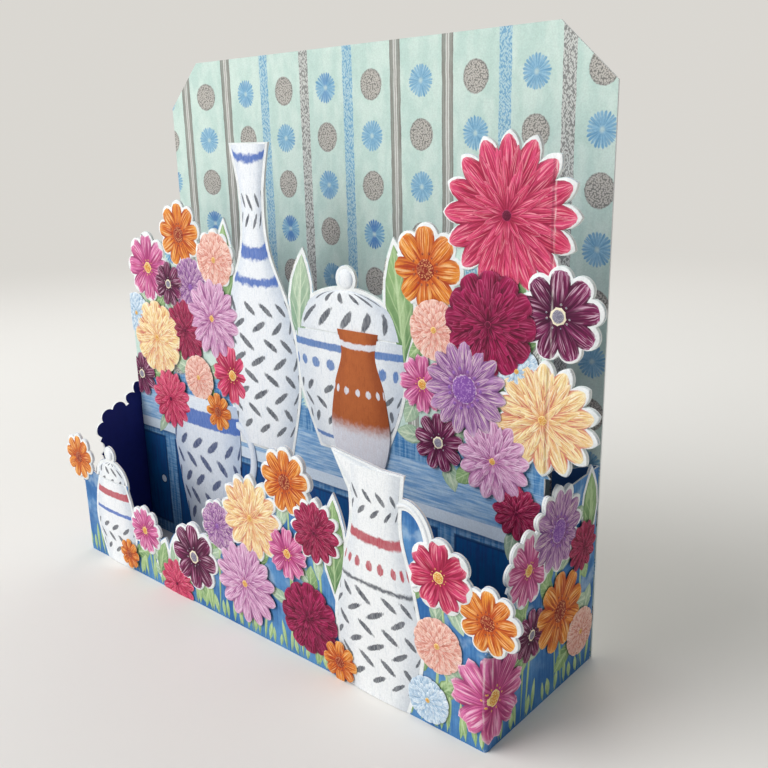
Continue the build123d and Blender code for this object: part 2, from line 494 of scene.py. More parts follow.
@dataclass(frozen=True)
class HeartInk(Ink):
    """Inks of a flower's heart: middle, ring and specks."""

    middle: str
    ring: str
    speck: str
    ring_from: float = 0.72

    def material(self) -> bpy.types.Material:
        """Makes the heart print: a speckled middle inside a broken pale ring.

        Returns:
            The finished material.
        """
        paint = Paint(self.name)
        around, out = paint.printed()
        turn = around * TAU
        place = paint.vector(turn.cosine() * out, turn.sine() * out, paint.tone() * 9.0)
        core = paint.blend(self.speck, self.middle, paint.cells(place, 7.0).ease(0.2, 0.55))
        core = paint.blend(core, self.middle, out.fade(0.1, 0.5) * 0.5)
        ring = (out + paint.noise(place, 6.0) * 0.24).ease(self.ring_from + 0.08, self.ring_from + 0.2)
        return paint.finish(paint.blend(core, self.ring, ring))


@dataclass(frozen=True)
class Band:
    """Painted band between two shares of a jar's height, with hard or feathered edges."""

    low: float
    high: float
    ink: str
    feather: float = 0.006
    waver: float = 0.02

    def print_on(self, paint: Paint, wash: Tone, along: Tone, brush: Tone, hair: Tone) -> Tone:
        """Draws the band.

        Args:
            paint: The material to draw in.
            wash: The glaze so far.
            along: Share of the jar's height.
            brush: Coarse variation.
            hair: Fine variation.

        Returns:
            The glaze with the band.
        """
        edge = along + (brush - 0.5) * (self.waver + self.feather)
        above = edge.ease(self.low - self.feather, self.low + self.feather)
        below = edge.fade(self.high - self.feather, self.high + self.feather)
        return paint.blend(wash, self.ink, above * below * (hair * 0.3 + 0.72))


@dataclass(frozen=True)
class Dabs:
    """Rows of brush dabs round a jar, between two shares of its height."""

    low: float
    high: float
    ink: str
    columns: float
    rows: float
    lean: float
    width: float
    length: float

    def print_on(self, paint: Paint, wash: Tone, around: Tone, along: Tone, brush: Tone) -> Tone:
        """Draws the dabs, every second row half a step aside and leaning the other way.

        Args:
            paint: The material to draw in.
            wash: The glaze so far.
            around: Share of the way round the front of the jar.
            along: Share of the jar's height.
            brush: Fine variation.

        Returns:
            The glaze with dabs.
        """
        rows = (along - self.low) / (self.high - self.low) * self.rows
        row = rows.floor()
        above = rows - row - 0.5
        odd = row % 2.0
        columns = around * self.columns + odd * 0.5
        column = columns.floor()
        chance = paint.chance(paint.vector(column, row, self.columns))
        aside = columns - column - 0.5 + above * (odd * 2.0 - 1.0) * self.lean
        wide = (aside + (chance - 0.5) * 0.2) / self.width
        tall = above / (chance * 0.2 + 0.85) / self.length
        out = wide.reach(tall) + (brush - 0.5) * 0.9
        dab = out.fade(0.78, 1.0) * (along > self.low) * (along < self.high)
        return paint.blend(wash, self.ink, dab * (brush * 0.7 + 0.5))


@dataclass(frozen=True)
class GlazeInk(Ink):
    """Inks of a painted jar: glaze, shade at its sides, rows of dabs and painted bands."""

    glaze: str
    shade: str
    dabs: tuple[Dabs, ...]
    bands: tuple[Band, ...]
    bow: float = 0.02
    rough: float = 0.55

    def material(self) -> bpy.types.Material:
        """Makes the jar print: round shading with brush hairs, dabs that follow the round, and bands.

        Returns:
            The finished material.
        """
        paint = Paint(self.name)
        across, along = paint.printed()
        x, y, z = paint.point()
        off = across * 2.0 - 1.0
        side = abs(off)
        brush = paint.noise(paint.vector(x, y, z), 0.9, 4.0)
        hair = paint.noise(paint.vector(x * 3.2, y * 3.2, z * 0.5), detail=3.0)
        round_shade = side.ease(0.35, 1.0) * 0.7 + (across - 0.5) * 0.3
        wash = paint.blend(self.glaze, self.shade, round_shade * (brush * 0.5 + 0.5))
        wash = paint.blend(wash, self.shade, hair.ease(0.52, 0.72) * 0.35)
        around = (off * 0.999).arcsine() / math.pi + 0.5
        bowed = along + (1.0 - side * side).root() * self.bow
        for dabs in self.dabs:
            wash = dabs.print_on(paint, wash, around, bowed, hair)
        for band in self.bands:
            wash = band.print_on(paint, wash, bowed, brush, hair)
        return paint.finish(wash, self.rough)


class Stripe(Enum):
    """Kinds of stripe, by their places in the repeat of five."""

    LINES = (0, 1)
    BLUE = (2, 4)
    GREY = (3,)

    def among(self, order: Tone) -> Tone:
        """One where a stripe's place in the repeat is of this kind, else zero."""
        places = [abs(order - float(place)) < 0.5 for place in self.value]
        return sum(places[1:], places[0])


@dataclass(frozen=True)
class Stripes:
    """Striped and spotted wallpaper, in millimetres."""

    ground: str = "c0d9cf"
    light_ground: str = "d0e3d9"
    blue: str = "5896c0"
    pale_blue: str = "93c0d8"
    deep_blue: str = "2f72b8"
    taupe: str = "7f736c"
    pale_taupe: str = "c3b9b1"
    dark_taupe: str = "5b5152"
    grey: str = "7d7776"
    chalk: str = "e2e4de"
    pitch: float = 15.95
    first_stripe: float = -63.7
    wide_before: float = -45.0
    widening: float = 0.17
    waver: float = 0.5
    repeat: float = 5.0
    stripe_half: float = 1.65
    gap_half: float = 0.5
    hairline_half: float = 0.12
    dash_scale: float = 1.9
    dash_lean: float = 0.5
    dash_stretch: float = 0.5
    row_pitch: float = 12.35
    top_row: float = 135.2
    spot_radius: float = 3.75
    spot_stretch: float = 1.06
    rays: float = 24.0
    ray_chance: float = 6.0
    grain_scale: float = 2.5

    def print_on(self, paint: Paint) -> Tone:
        """Draws stripes and spots over the ground.

        Args:
            paint: The material to draw in.

        Returns:
            The wallpaper's colour.
        """
        across, deep, up = paint.point()
        fleck = paint.noise(paint.vector(across, deep, up), 1.9, 3.0)
        wash = paint.noise(paint.vector(across, deep, up * 0.4), 0.3, 3.0)
        colour = paint.blend(self.ground, self.light_ground, wash.ease(0.35, 0.65))
        waver = (paint.noise(paint.vector(across * 0.2, deep, up * 0.25)) - 0.5) * self.waver
        stretch = (self.wide_before - across).either(0.0) * self.widening
        steps = (across + stretch + waver - self.first_stripe) / self.pitch
        nearest = (steps + 0.5).floor()
        offset = (steps - nearest) * self.pitch
        band = abs(offset) < self.stripe_half
        lines, blue, grey = [band * stripe.among(nearest % self.repeat) for stripe in Stripe]
        colour = self.lines_on(paint, colour, offset, lines)
        colour = self.dashes_on(paint, colour, blue, grey, fleck)
        return self.spots_on(paint, colour, steps, fleck)

    def lines_on(self, paint: Paint, colour: Tone, offset: Tone, band: Tone) -> Tone:
        """Draws two brushed bands with a pale gap between them, and a hairline along the gap.

        Args:
            paint: The material to draw in.
            colour: The ground.
            offset: Distance from the stripe's middle.
            band: One inside the stripe.

        Returns:
            The colour with lines.
        """
        across, deep, up = paint.point()
        brush = paint.noise(paint.vector(across * 3.2, deep, up * 0.1), detail=3.0)
        away = abs(offset)
        gap = away.fade(self.gap_half - 0.1, self.gap_half + 0.1) * band
        edge = away.ease(self.stripe_half - 0.4, self.stripe_half - 0.1) * band
        hairline = away.fade(self.hairline_half, self.hairline_half * 2.0) * band
        return paint.layers(
            colour,
            (self.taupe, band * (brush * 0.7 + 0.4)),
            (self.dark_taupe, edge * brush * 0.6),
            (self.chalk, gap * (0.95 - brush * 0.3)),
            (self.taupe, hairline * 0.55),
        )

    def dashes_on(self, paint: Paint, colour: Tone, blue: Tone, grey: Tone, fleck: Tone) -> Tone:
        """Draws the blue and the grey stripes, broken by short pale dashes that lean both ways.

        Args:
            paint: The material to draw in.
            colour: The ground.
            blue: One inside a blue stripe.
            grey: One inside a grey stripe.
            fleck: Fine variation.

        Returns:
            The colour with stripes.
        """
        across, _, up = paint.point()
        left, right = [
            paint.grains(across + up * lean, up * self.dash_stretch, self.dash_scale).fade(0.24, 0.4)
            for lean in (self.dash_lean, -self.dash_lean)
        ]
        dash = left.either(right)
        return paint.layers(
            colour,
            (self.pale_blue, blue * 0.7),
            (self.blue, blue * (1.0 - dash) * (fleck * 0.9 + 0.2)),
            (self.light_ground, blue * dash * 0.3),
            (self.grey, grey * (fleck * 0.5 + 0.6)),
            (self.chalk, grey * dash * 0.7),
        )

    def spots_on(self, paint: Paint, colour: Tone, steps: Tone, fleck: Tone) -> Tone:
        """Draws two kinds of spot between the stripes by turns: rayed blue ones and grainy taupe ones.

        Args:
            paint: The material to draw in.
            colour: The striped ground.
            steps: Place across, in stripe pitches.
            fleck: Fine variation.

        Returns:
            The colour with spots.
        """
        across, _, up = paint.point()
        column = steps.floor()
        rows = (up - self.top_row) / self.row_pitch + 0.5
        row = rows.floor()
        aside = (steps - column - 0.5) * (self.pitch * self.spot_stretch)
        above = (rows - row - 0.5) * self.row_pitch
        out = aside.reach(above)
        other = (column + row + 1.0) % 2.0
        printed = rows < 1.0
        seed = column * 3.0 + row * 7.0
        spoke = paint.vector(aside / out * self.ray_chance, above / out * self.ray_chance, seed)
        ray = paint.noise(spoke, detail=1.0)
        lobe = abs((above.angle(aside) * (self.rays / TAU) + ray * 0.6) % 1.0 - 0.5) * 2.0
        rim = self.spot_radius
        edge = out + lobe * lobe * 0.45 + (ray - 0.5) * 0.9 + (fleck - 0.5) * 0.4
        burst = paint.blend(self.blue, self.pale_blue, (ray * 0.8 + fleck * 0.4).ease(0.42, 0.8))
        dark = paint.chance(paint.vector(column, row, 0.5)).ease(0.55, 0.75)
        sector = (above * above / (out * out)).ease(0.3, 0.85)
        burst = paint.blend(burst, self.deep_blue, dark * sector * 0.9)
        gap = lobe.ease(0.5, 0.95) * out.ease(rim * 0.5, rim * 0.95)
        burst = paint.blend(burst, self.light_ground, gap * 0.7)
        burst = paint.blend(burst, self.light_ground, (out + ray * 1.2).fade(0.7, 1.6) * 0.7)
        rayed = edge.fade(rim - 0.15, rim + 0.2) * (other < 0.5) * printed
        colour = paint.blend(colour, burst, rayed * (fleck * 0.3 + 0.75))
        grain = paint.grains(across, up, self.grain_scale)
        dabbed = paint.blend(self.pale_taupe, self.taupe, grain.ease(0.26, 0.66))
        dabbed = paint.blend(dabbed, self.dark_taupe, (fleck * 0.6 + grain * 0.7).ease(0.58, 0.78) * 0.55)
        dabbed = paint.blend(dabbed, self.dark_taupe, out.ease(rim - 0.7, rim - 0.1) * 0.4)
        grainy = (out + fleck * 0.5).fade(rim + 0.1, rim + 0.4) * (other > 0.5) * printed
        return paint.blend(colour, dabbed, grainy * 0.85)


@dataclass(frozen=True)
class Cabinet:
    """Painted cabinet with doors, knobs and a table top, in millimetres."""

    pitch: float = 27.0
    shift: float = 6.0
    half_width: float = 10.8
    bottom: float = 4.0
    top: float = 33.5
    knob_across: float = 8.2
    knob_radius: float = 1.2
    knob_ring: float = 1.6
    edge_bottom: float = 35.5
    edge_top: float = 38.6
    # edge_shade: depth of the painted shadow under the table top's edge
    edge_shade: float = 1.4
    table_top: float = 49.0
    rail: str = "3a78b0"
    pale_rail: str = "86aed0"
    door: str = "0a5590"
    dark_door: str = "1c4580"
    line: str = "0b3566"
    knob: str = "dbe6ee"
    table: str = "6d9ccb"
    pale_table: str = "b3cde3"
    table_edge: str = "d3e0ec"

    def print_on(self, paint: Paint) -> Tone:
        """Draws brushed blue rails round deep blue doors with round knobs, under a table top with a painted
        shadow below its front edge.

        Args:
            paint: The material to draw in.

        Returns:
            The cabinet's colour.
        """
        across, deep, up = paint.point()
        brush = paint.noise(paint.vector(across * 1.3, deep, up * 0.12), detail=3.0)
        weft = paint.noise(paint.vector(across * 0.25, 0.0, up * 2.4))
        grain = paint.noise(paint.vector(across * 0.12, 0.0, up * 1.6), detail=3.0)
        rails = paint.blend(self.rail, self.pale_rail, (brush * 0.7 + weft * 0.5).ease(0.46, 0.76))
        doors = paint.blend(self.door, self.dark_door, brush.ease(0.4, 0.66))
        table = paint.blend(self.table, self.pale_table, (grain * 0.8 + weft * 0.3).ease(0.4, 0.72))
        aside = (across + self.shift) % self.pitch - self.pitch / 2
        above = up - (self.top + self.bottom) / 2
        beyond = (abs(aside) - self.half_width).either(abs(above) - (self.top - self.bottom) / 2)
        reach = (aside - self.knob_across).reach(above)
        wavy = up + (grain - 0.5) * 0.5
        return paint.layers(
            rails,
            (doors, beyond.fade(-0.15, 0.15)),
            (self.line, abs(beyond).fade(0.2, 0.55) * 0.8),
            (self.line, reach.fade(self.knob_ring - 0.1, self.knob_ring + 0.1)),
            (self.knob, reach.fade(self.knob_radius - 0.1, self.knob_radius + 0.1)),
            # Painted shadow under the table top's edge, in the line colour
            (self.line, wavy.ease(self.edge_bottom - self.edge_shade, self.edge_bottom) * 0.6),
            (self.table_edge, wavy.ease(self.edge_bottom, self.edge_bottom + 0.2)),
            (table, wavy.ease(self.edge_top, self.edge_top + 0.2)),
            (rails, wavy.ease(self.table_top, self.table_top + 0.3)),
        )


@dataclass(frozen=True)
class CardSizes:
    """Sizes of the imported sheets, in millimetres."""

    half_width: float
    front_face: float
    middle_face: float
    back_face: float
    board: float
    wall_inside: float
    fold_radius: float

    @classmethod
    def from_frame(cls) -> "CardSizes":
        """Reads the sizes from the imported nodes.

        Returns:
            The sizes.
        """
        back_low, back_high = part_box("back_panel")
        front_low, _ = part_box("front_layer")
        middle_low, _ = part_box("middle_layer")
        board = (back_high.y - back_low.y) / MM
        half_width = back_high.x / MM
        return cls(
            half_width=half_width,
            front_face=front_low.y / MM,
            middle_face=middle_low.y / MM,
            back_face=back_low.y / MM,
            board=board,
            wall_inside=half_width - board,
            fold_radius=board + FOLD_INSIDE,
        )


@dataclass(frozen=True)
class BoardPrint(Ink):
    """Ground print of one bare sheet, with white cut edges and a dark blue lining."""

    sizes: CardSizes
    core: str = "eff0ee"
    lining: str = "1c2673"

    def material(self) -> bpy.types.Material:
        """Makes the sheet's print."""
        paint = Paint(self.name)
        return paint.finish(self.colour(paint))

    def colour(self, paint: Paint) -> Tone:
        """Colour by the place on the sheet and the way that the board faces."""
        raise NotImplementedError


@dataclass(frozen=True)
class WallpaperPrint(BoardPrint):
    """Print of the back panel."""

    stripes: Stripes = Stripes()

    def colour(self, paint: Paint) -> Tone:
        """Wallpaper on the front face, bare board behind and on the edges."""
        _, north, _ = paint.facing()
        return paint.blend(self.core, self.stripes.print_on(paint), north < -FACING)


@dataclass(frozen=True)
class GardenPrint(BoardPrint):
    """Print of the middle layer, in millimetres."""

    stripes: Stripes = Stripes(first_stripe=-57.0, top_row=129.5)
    cabinet: Cabinet = Cabinet()
    paper_bottom: float = 57.0
    paper_wash: float = 3.0
    tab_depth: float = 1.5
    tab_front: float = 0.6
    tab_top: float = 52.0

    def colour(self, paint: Paint) -> Tone:
        """Wallpaper above a painted cabinet on the front face, dark blue behind and on the tabs.

        Args:
            paint: The material to draw in.

        Returns:
            The print's colour.
        """
        across, deep, up = paint.point()
        east, north, _ = paint.facing()
        wash = paint.noise(paint.vector(across, deep, up), 0.16, 4.0)
        papered = (up + wash * self.paper_wash).ease(self.paper_bottom, self.paper_bottom + 1.0)
        front = paint.blend(self.cabinet.print_on(paint), self.stripes.print_on(paint), papered)
        colour = paint.blend(self.core, front, north < -FACING)
        tab = (abs(east) > FACING) * (abs(across) > self.sizes.wall_inside - self.tab_depth)
        tab = tab * (deep > self.tab_front) * (up < self.tab_top)
        return paint.blend(colour, self.lining, (north > FACING).either(tab))


@dataclass(frozen=True)
class BorderPrint(BoardPrint):
    """Print of the front layer, in millimetres."""

    blue: str = "2a64a2"
    pale_blue: str = "5f95c6"
    haze: str = "b4cadb"
    # Flap face in a mid blue, lighter than the lining: painted light for the shaded corner behind the middle
    # layer
    flap_face_painted_light: str = "4a80bd"
    haze_between: Span = (6.0, 22.0)
    wall_slack: float = 0.2
    notch_bottom: float = 23.5
    half_depth: float = 20.0

    def ground(self, paint: Paint) -> Tone:
        """Brushed blue ground with pale haze, scuffed along the corner folds.

        Args:
            paint: The material to draw in.

        Returns:
            The ground's colour.
        """
        sizes = self.sizes
        across, deep, up = paint.point()
        place = paint.vector(across, deep, up)
        wash = paint.noise(place, 0.1, 4.0)
        brush = paint.noise(paint.vector(across * 1.6, deep * 1.6, up * 0.1), detail=3.0)
        ground = paint.blend(self.blue, self.pale_blue, (wash + brush * 0.5).ease(0.5, 1.0))
        haze = paint.noise(place, 0.2, 3.0).ease(0.48, 0.66) * 0.5
        ground = paint.blend(ground, self.haze, haze * up.ease(*self.haze_between))
        bent = (abs(across) - sizes.half_width + sizes.fold_radius).ease(0.0, 0.4)
        bent = bent * (deep - sizes.front_face).fade(0.4, sizes.fold_radius)
        scuff = paint.noise(paint.vector(across * 2.0, deep * 2.0, up * 0.6), detail=4.0).ease(0.5, 0.66)
        return paint.blend(ground, self.core, bent * scuff * 0.7)

    def colour(self, paint: Paint) -> Tone:
        """Blue ground on the outer faces, dark blue inside, flaps painted a lighter blue as painted light for
        their shaded corner, and white edges.

        Args:
            paint: The material to draw in.

        Returns:
            The print's colour.
        """
        sizes = self.sizes
        across, deep, up = paint.point()
        east, north, _ = paint.facing()
        aside = abs(across)
        upright = (abs(north) + abs(east)) > UPRIGHT
        near = deep < sizes.front_face + sizes.fold_radius
        folded = (aside > sizes.half_width - sizes.fold_radius) * upright
        front = near * (abs(north) > FACING)
        wall = (abs(east) > FACING) * (aside > sizes.wall_inside - self.wall_slack)
        wall = wall * (deep > sizes.front_face + sizes.board)
        flap = (deep > sizes.back_face - sizes.board * 1.5) * (north < -FACING)
        bend = folded * (deep > sizes.back_face - sizes.fold_radius)
        colour = paint.blend(self.core, self.lining, front.either(wall).either(flap).either(bend))
        # Painted light: the flaps get a lighter blue than the lining, so that their shaded corner reads
        # brighter
        colour = paint.blend(colour, self.flap_face_painted_light, flap)
        outer_front = front * (deep < sizes.front_face + sizes.board * 0.5)
        outer_wall = wall * (aside > sizes.half_width - sizes.board * 0.5)
        fold = folded * near * (up < self.notch_bottom) * ((across * east - north * self.half_depth) > 0.0)
        outer_bend = bend * ((across * east + north * self.half_depth) > 0.0)
        outer = outer_front.either(outer_wall).either(fold).either(outer_bend)
        return paint.blend(colour, self.ground(paint), outer)


class Panel:
    """A printed face of the card; turns places on the print into places in space."""

    def cuts(self) -> tuple[float, ...]:
        """Places across where a mesh has to be divided before it is laid on."""
        return ()

    def trims(self) -> tuple[tuple[Vector, Vector], ...]:
        """Straight edges that the print runs off: a point on each, and the way out."""
        return ((Vector((0, BLEED, 0)), Vector((0, -1, 0))),)

    def lay(self, across: float, up: float, out: float) -> Vector:
        """Place in space, in metres, of a place on the print in millimetres.

        Args:
            across: Distance to the right.
            up: Height.
            out: Height of the relief above the face.

        Returns:
            The place in the card's frame.
        """
        raise NotImplementedError


@dataclass(frozen=True)
class FlatPanel(Panel):
    """A flat face towards the viewer, with a score line where the board is creased."""

    face: float
    score: float | None = None
    left_edge: float | None = None
    score_half: float = 0.55
    score_depth: float = 0.12

    def cuts(self) -> tuple[float, ...]:
        """Both sides and the bottom of the score line."""
        if self.score is None:
            return ()
        return (self.score - self.score_half, self.score, self.score + self.score_half)

    def trims(self) -> tuple[tuple[Vector, Vector], ...]:
        """The bottom edge, and the left edge where the print runs off it."""
        bottom = super().trims()
        if self.left_edge is None:
            return bottom
        return (*bottom, (Vector((self.left_edge + BLEED, 0, 0)), Vector((-1, 0, 0))))

    def lay(self, across: float, up: float, out: float) -> Vector:
        """Lays flat, dipping at the score line."""
        if self.score is not None:
            out -= self.score_depth * max(0.0, 1 - abs(across - self.score) / self.score_half)
        return Vector((across, self.face - out, up)) * MM


@dataclass(frozen=True)
class WrappedPanel(Panel):
    """The front face and both walls as one strip that bends round the corner folds."""

    face: float
    half_width: float
    fold_radius: float
    fold_steps: int = 4

    def cuts(self) -> tuple[float, ...]:
        """Lines along both folds, close enough to follow the bend."""
        start = self.half_width - self.fold_radius
        bend = self.fold_radius * math.pi / 2
        places = [start + bend * step / self.fold_steps for step in range(self.fold_steps + 1)]
        return (*places, *[-place for place in places])

    def along_wall(self, deep: float) -> float:
        """Place along the strip of a distance behind the front face."""
        wall_start = self.half_width - self.fold_radius + self.fold_radius * math.pi / 2
        return wall_start + deep - self.fold_radius

    def lay(self, across: float, up: float, out: float) -> Vector:
        """Bends the strip round the nearer corner.

        Args:
            across: Distance to the right along the strip.
            up: Height.
            out: Height of the relief above the face.

        Returns:
            The place in the card's frame.
        """
        side = math.copysign(1.0, across)
        past = abs(across) - (self.half_width - self.fold_radius)
        if past <= 0:
            return Vector((across, self.face - out, up)) * MM
        turn = past / self.fold_radius
        reach = self.fold_radius + out
        if turn < QUARTER_TURN:
            place = (math.sin(turn) * reach, -math.cos(turn) * reach)
        else:
            place = (reach, past - self.fold_radius * math.pi / 2)
        aside = side * (self.half_width - self.fold_radius + place[0])
        return Vector((aside, self.face + self.fold_radius + place[1], up)) * MM


def new_print() -> Shape:
    """An empty shape with the layers that every print has."""
    shape = bmesh.new()
    shape.loops.layers.uv.new(PRINT_UV)
    shape.faces.layers.float.new(PETAL_TONE)
    return shape


def bisect(shape: Shape, point: Vector, way: Vector, cut_off: bool) -> None:
    """Divides a shape along a plane.

    Args:
        shape: A closed mesh.
        point: A point on the plane.
        way: The plane's direction.
        cut_off: Whether what lies past the plane is cut off and the cut closed.
    """
    geometry = [*shape.verts, *shape.edges, *shape.faces]
    bmesh.ops.bisect_plane(
        shape, geom=geometry, dist=ON_PLANE, plane_co=point, plane_no=way, clear_outer=cut_off
    )
    if cut_off:
        bmesh.ops.holes_fill(shape, edges=[edge for edge in shape.edges if edge.is_boundary])


class Pile:
    """A mesh piece that gathers shapes of one print on one layer."""

    def __init__(self, name: str, slot: str, *inks: Ink) -> None:
        """Starts an empty piece.

        Args:
            name: The piece's name.
            slot: The record's material slot; not used.
            inks: Its prints, in the order of its faces' numbers.
        """
        self.name = name
        self.slot = slot
        self.inks = inks
        self.mesh = new_print()

    def add(self, shape: Shape, panel: Panel) -> None:
        """Trims and divides a flat shape where the panel ends and bends, lays it on and keeps it.

        Args:
            shape: Mesh in millimetres on the print; it is used up.
            panel: The face that it lies on.
        """
        for point, way in panel.trims():
            if any((vert.co - point).dot(way) > 0 for vert in shape.verts):
                bisect(shape, point, way, cut_off=True)
        if not shape.faces:
            shape.free()
            return
        low = min(vert.co.x for vert in shape.verts)
        high = max(vert.co.x for vert in shape.verts)
        for place in panel.cuts():
            if low < place < high:
                bisect(shape, Vector((place, 0, 0)), Vector((1, 0, 0)), cut_off=False)
        for vert in shape.verts:
            vert.co = panel.lay(*vert.co)
        bmesh.ops.recalc_face_normals(shape, faces=shape.faces[:])
        holder = bpy.data.meshes.new(self.name)
        shape.to_mesh(holder)
        shape.free()
        self.mesh.from_mesh(holder)
        bpy.data.meshes.remove(holder)

    def close(self) -> None:
        """Makes the piece's object, riding on the card, unless no shape was added."""
        if not self.mesh.faces:
            self.mesh.free()
            return
        data = bpy.data.meshes.new(self.name)
        self.mesh.to_mesh(data)
        self.mesh.free()
        for ink in self.inks:
            data.materials.append(dressed(ink))
        for face in data.polygons:
            face.use_smooth = True
        data.set_sharp_from_angle(angle=math.radians(SHARP_ANGLE))
        piece = bpy.data.objects.new(self.name, data)
        bpy.context.scene.collection.objects.link(piece)
        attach(piece, BODY)
        LOG.info("%s: %d faces", self.name, len(data.polygons))


class Outline(Enum):
    """Ends of a petal, by the powers that shape its rise from the root and its fall to the tip."""

    ROUND = (0.8, 0.36)
    POINTED = (0.6, 0.85)
    FULL = (0.75, 0.6)
    NOTCHED = (0.85, 0.28)
    LEAF = (1.0, 1.0)


@dataclass(frozen=True)
class PetalForm:
    """Unit petal, one long and one wide, embossed to a height of one."""

    outline: Outline
    root_width: float = 0.3
    across: int = 4
    along: int = 6
    depth: float = 0.5
    notch: float = 0.09
    notch_power: int = 8
    side_power: float = 0.7
    root_height: float = 0.08

    def half_width(self, along: float) -> float:
        """Half the width at a share of the length.

        Args:
            along: Share of the way from root to tip.

        Returns:
            The half width there.
        """
        rise, fall = self.outline.value
        if self.outline is Outline.NOTCHED:
            along = min(along, 1 - self.notch / 4)
        peak = rise / (rise + fall)
        top = peak**rise * (1 - peak) ** fall
        swell = (along**rise) * ((1 - along) ** fall) / top
        root = 0.0 if self.outline is Outline.LEAF else self.root_width * (1 - along) ** 2
        return 0.5 * min(1.0, swell + root)

    def crown(self, side: float, along: float) -> float:
        """Height of the relief: round across, low at root and tip."""
        arch = math.sin(math.pi * min(1.0, self.root_height + (1 - self.root_height) * along))
        return (1 - side * side) ** self.side_power * arch**0.5

    def data(self) -> bpy.types.Mesh:
        """Shapes a grid into the petal and closes it underneath.

        Returns:
            The petal as mesh data, ready to be copied many times.
        """
        shape = new_print()
        bmesh.ops.create_grid(shape, x_segments=self.across, y_segments=self.along, size=0.5, calc_uvs=True)
        notch = self.notch if self.outline is Outline.NOTCHED else 0.0
        for vert in shape.verts:
            side = 2 * vert.co.x
            along = math.sin((vert.co.y + 0.5) * math.pi / 2)
            dip = notch * (1 - abs(side)) * along**self.notch_power
            vert.co = (side * self.half_width(along), along - dip, self.crown(side, along))
        bmesh.ops.remove_doubles(shape, verts=shape.verts[:], dist=SAME_PLACE)
        made = bmesh.ops.extrude_edge_only(shape, edges=[edge for edge in shape.edges if edge.is_boundary])
        for item in made["geom"]:
            if isinstance(item, bmesh.types.BMVert):
                item.co.z = -self.depth
        bmesh.ops.edgeloop_fill(shape, edges=[edge for edge in shape.edges if edge.is_boundary])
        bmesh.ops.recalc_face_normals(shape, faces=shape.faces[:])
        data = bpy.data.meshes.new(f"{self.outline.name.lower()}_petal")
        shape.to_mesh(data)
        shape.free()
        return data


@dataclass(frozen=True)
class Ring:
    """One ring of petals in a flower; sizes are shares of the flower's radius."""

    outline: Outline
    share: float
    start: float
    reach: float
    width: float
    lift: float
    crown: float
    turn: float = 0.0


@dataclass(frozen=True)
class Species:
    """One kind of flower: its rings of petals, its inks, its heart and whether its cut line is pointed."""

    rings: tuple[Ring, ...]
    ink: PetalInk
    heart: HeartInk
    heart_radius: float
    heart_rise: float
    seeds: int = 0
    pointed: bool = False


BORDER_INK = PlainInk("white_border", "f0f2f1", "e2e6e5")

CREAM_HEART = HeartInk("cream_heart", "7d7a8c", "f1e6c9", "b3adb6", 0.62)
RUST_HEART = HeartInk("rust_heart", "8c2a1e", "c2552a", "e3a06a", 0.85)
GOLD_HEART = HeartInk("gold_heart", "d9922f", "f4dd94", "fbeab4")
WINE_HEART = HeartInk("wine_heart", "5a0d2c", "a8325c", "7d1c44")
PLUM_HEART = HeartInk("plum_heart", "8450a2", "e9d8d6", "b68cc6", 0.9)

PLUM = PetalInk("plum_petal", "4a1136", "76204f", "8f3a6c", "e6c3d6", "380b28", 0.75, 0.8)
ORANGE = PetalInk("orange_petal", "c4521f", "e0862f", "eca14a", "f9dca4", "a3301c", 0.85, 0.7)
CRIMSON = PetalInk("crimson_petal", "6a0f36", "a01d49", "bd3a62", "e08aa6", "4b0825", 0.75, 0.55)
CORAL = PetalInk("coral_petal", "a31f45", "d5406a", "e6718c", "f6b9bf", "861636", 0.75, 0.6)
PINK = PetalInk("pink_petal", "b0609c", "d9a2c6", "e6c4da", "f8ecf4", "7f3d74", 0.75, 0.75)
ROSE = PetalInk("rose_petal", "b23a78", "d96fa2", "e9a3c3", "fae0ea", "8f2a63", 0.75, 0.75)
LILAC = PetalInk("lilac_petal", "854a8c", "b383b4", "cfaccb", "f2e6d2", "643273", 0.7, 0.8)
CREAM = PetalInk("cream_petal", "e2a26c", "f3d99a", "f8e8bf", "fff8ea", "c6525c", 0.75, 0.75)
WINE = PetalInk("wine_petal", "5e082e", "921246", "ac1f58", "d76a94", "3a051c", 0.75, 0.42)
MIST = PetalInk("mist_petal", "93b6d2", "cfe0ec", "e6eff5", "ffffff", "7fa3c4", 0.6, 0.7)
BLUSH = PetalInk("blush_petal", "dc8f84", "efbfae", "f5d8c8", "fdf1e8", "c4705f", 0.7, 0.7)
LEAF_GREEN = LeafInk("leaf_green", "5f8556", "8fb078", "bcd3a2")
LEAF_GREY = LeafInk("leaf_grey_green", "7d9f86", "abc3a6", "d6e2c9")
GRASS_GREEN = LeafInk("grass_green", "7fa566", "a9c688", "cfe0b2", 2.0)

DAISY = (Ring(Outline.ROUND, 1, 0.1, 1.0, 1.3, 0.0, 0.15),)
COSMOS = (Ring(Outline.NOTCHED, 1, 0.08, 1.0, 1.32, 0.0, 0.15),)
ASTER = (
    Ring(Outline.FULL, 1.0, 0.3, 1.0, 1.22, 0.0, 0.13),
    Ring(Outline.POINTED, 1.1, 0.24, 0.9, 1.02, 0.04, 0.13, 0.5),
    Ring(Outline.POINTED, 1.0, 0.16, 0.74, 1.05, 0.09, 0.13, 0.25),
    Ring(Outline.POINTED, 0.85, 0.08, 0.56, 1.1, 0.14, 0.13, 0.5),
    Ring(Outline.POINTED, 0.6, 0.02, 0.37, 1.1, 0.19, 0.13),
)
RAYS = (
    Ring(Outline.FULL, 1.0, 0.28, 1.0, 1.25, 0.0, 0.13),
    Ring(Outline.POINTED, 1.2, 0.24, 0.86, 1.02, 0.05, 0.13, 0.5),
    Ring(Outline.POINTED, 1.1, 0.22, 0.66, 1.02, 0.1, 0.12, 0.25),
)
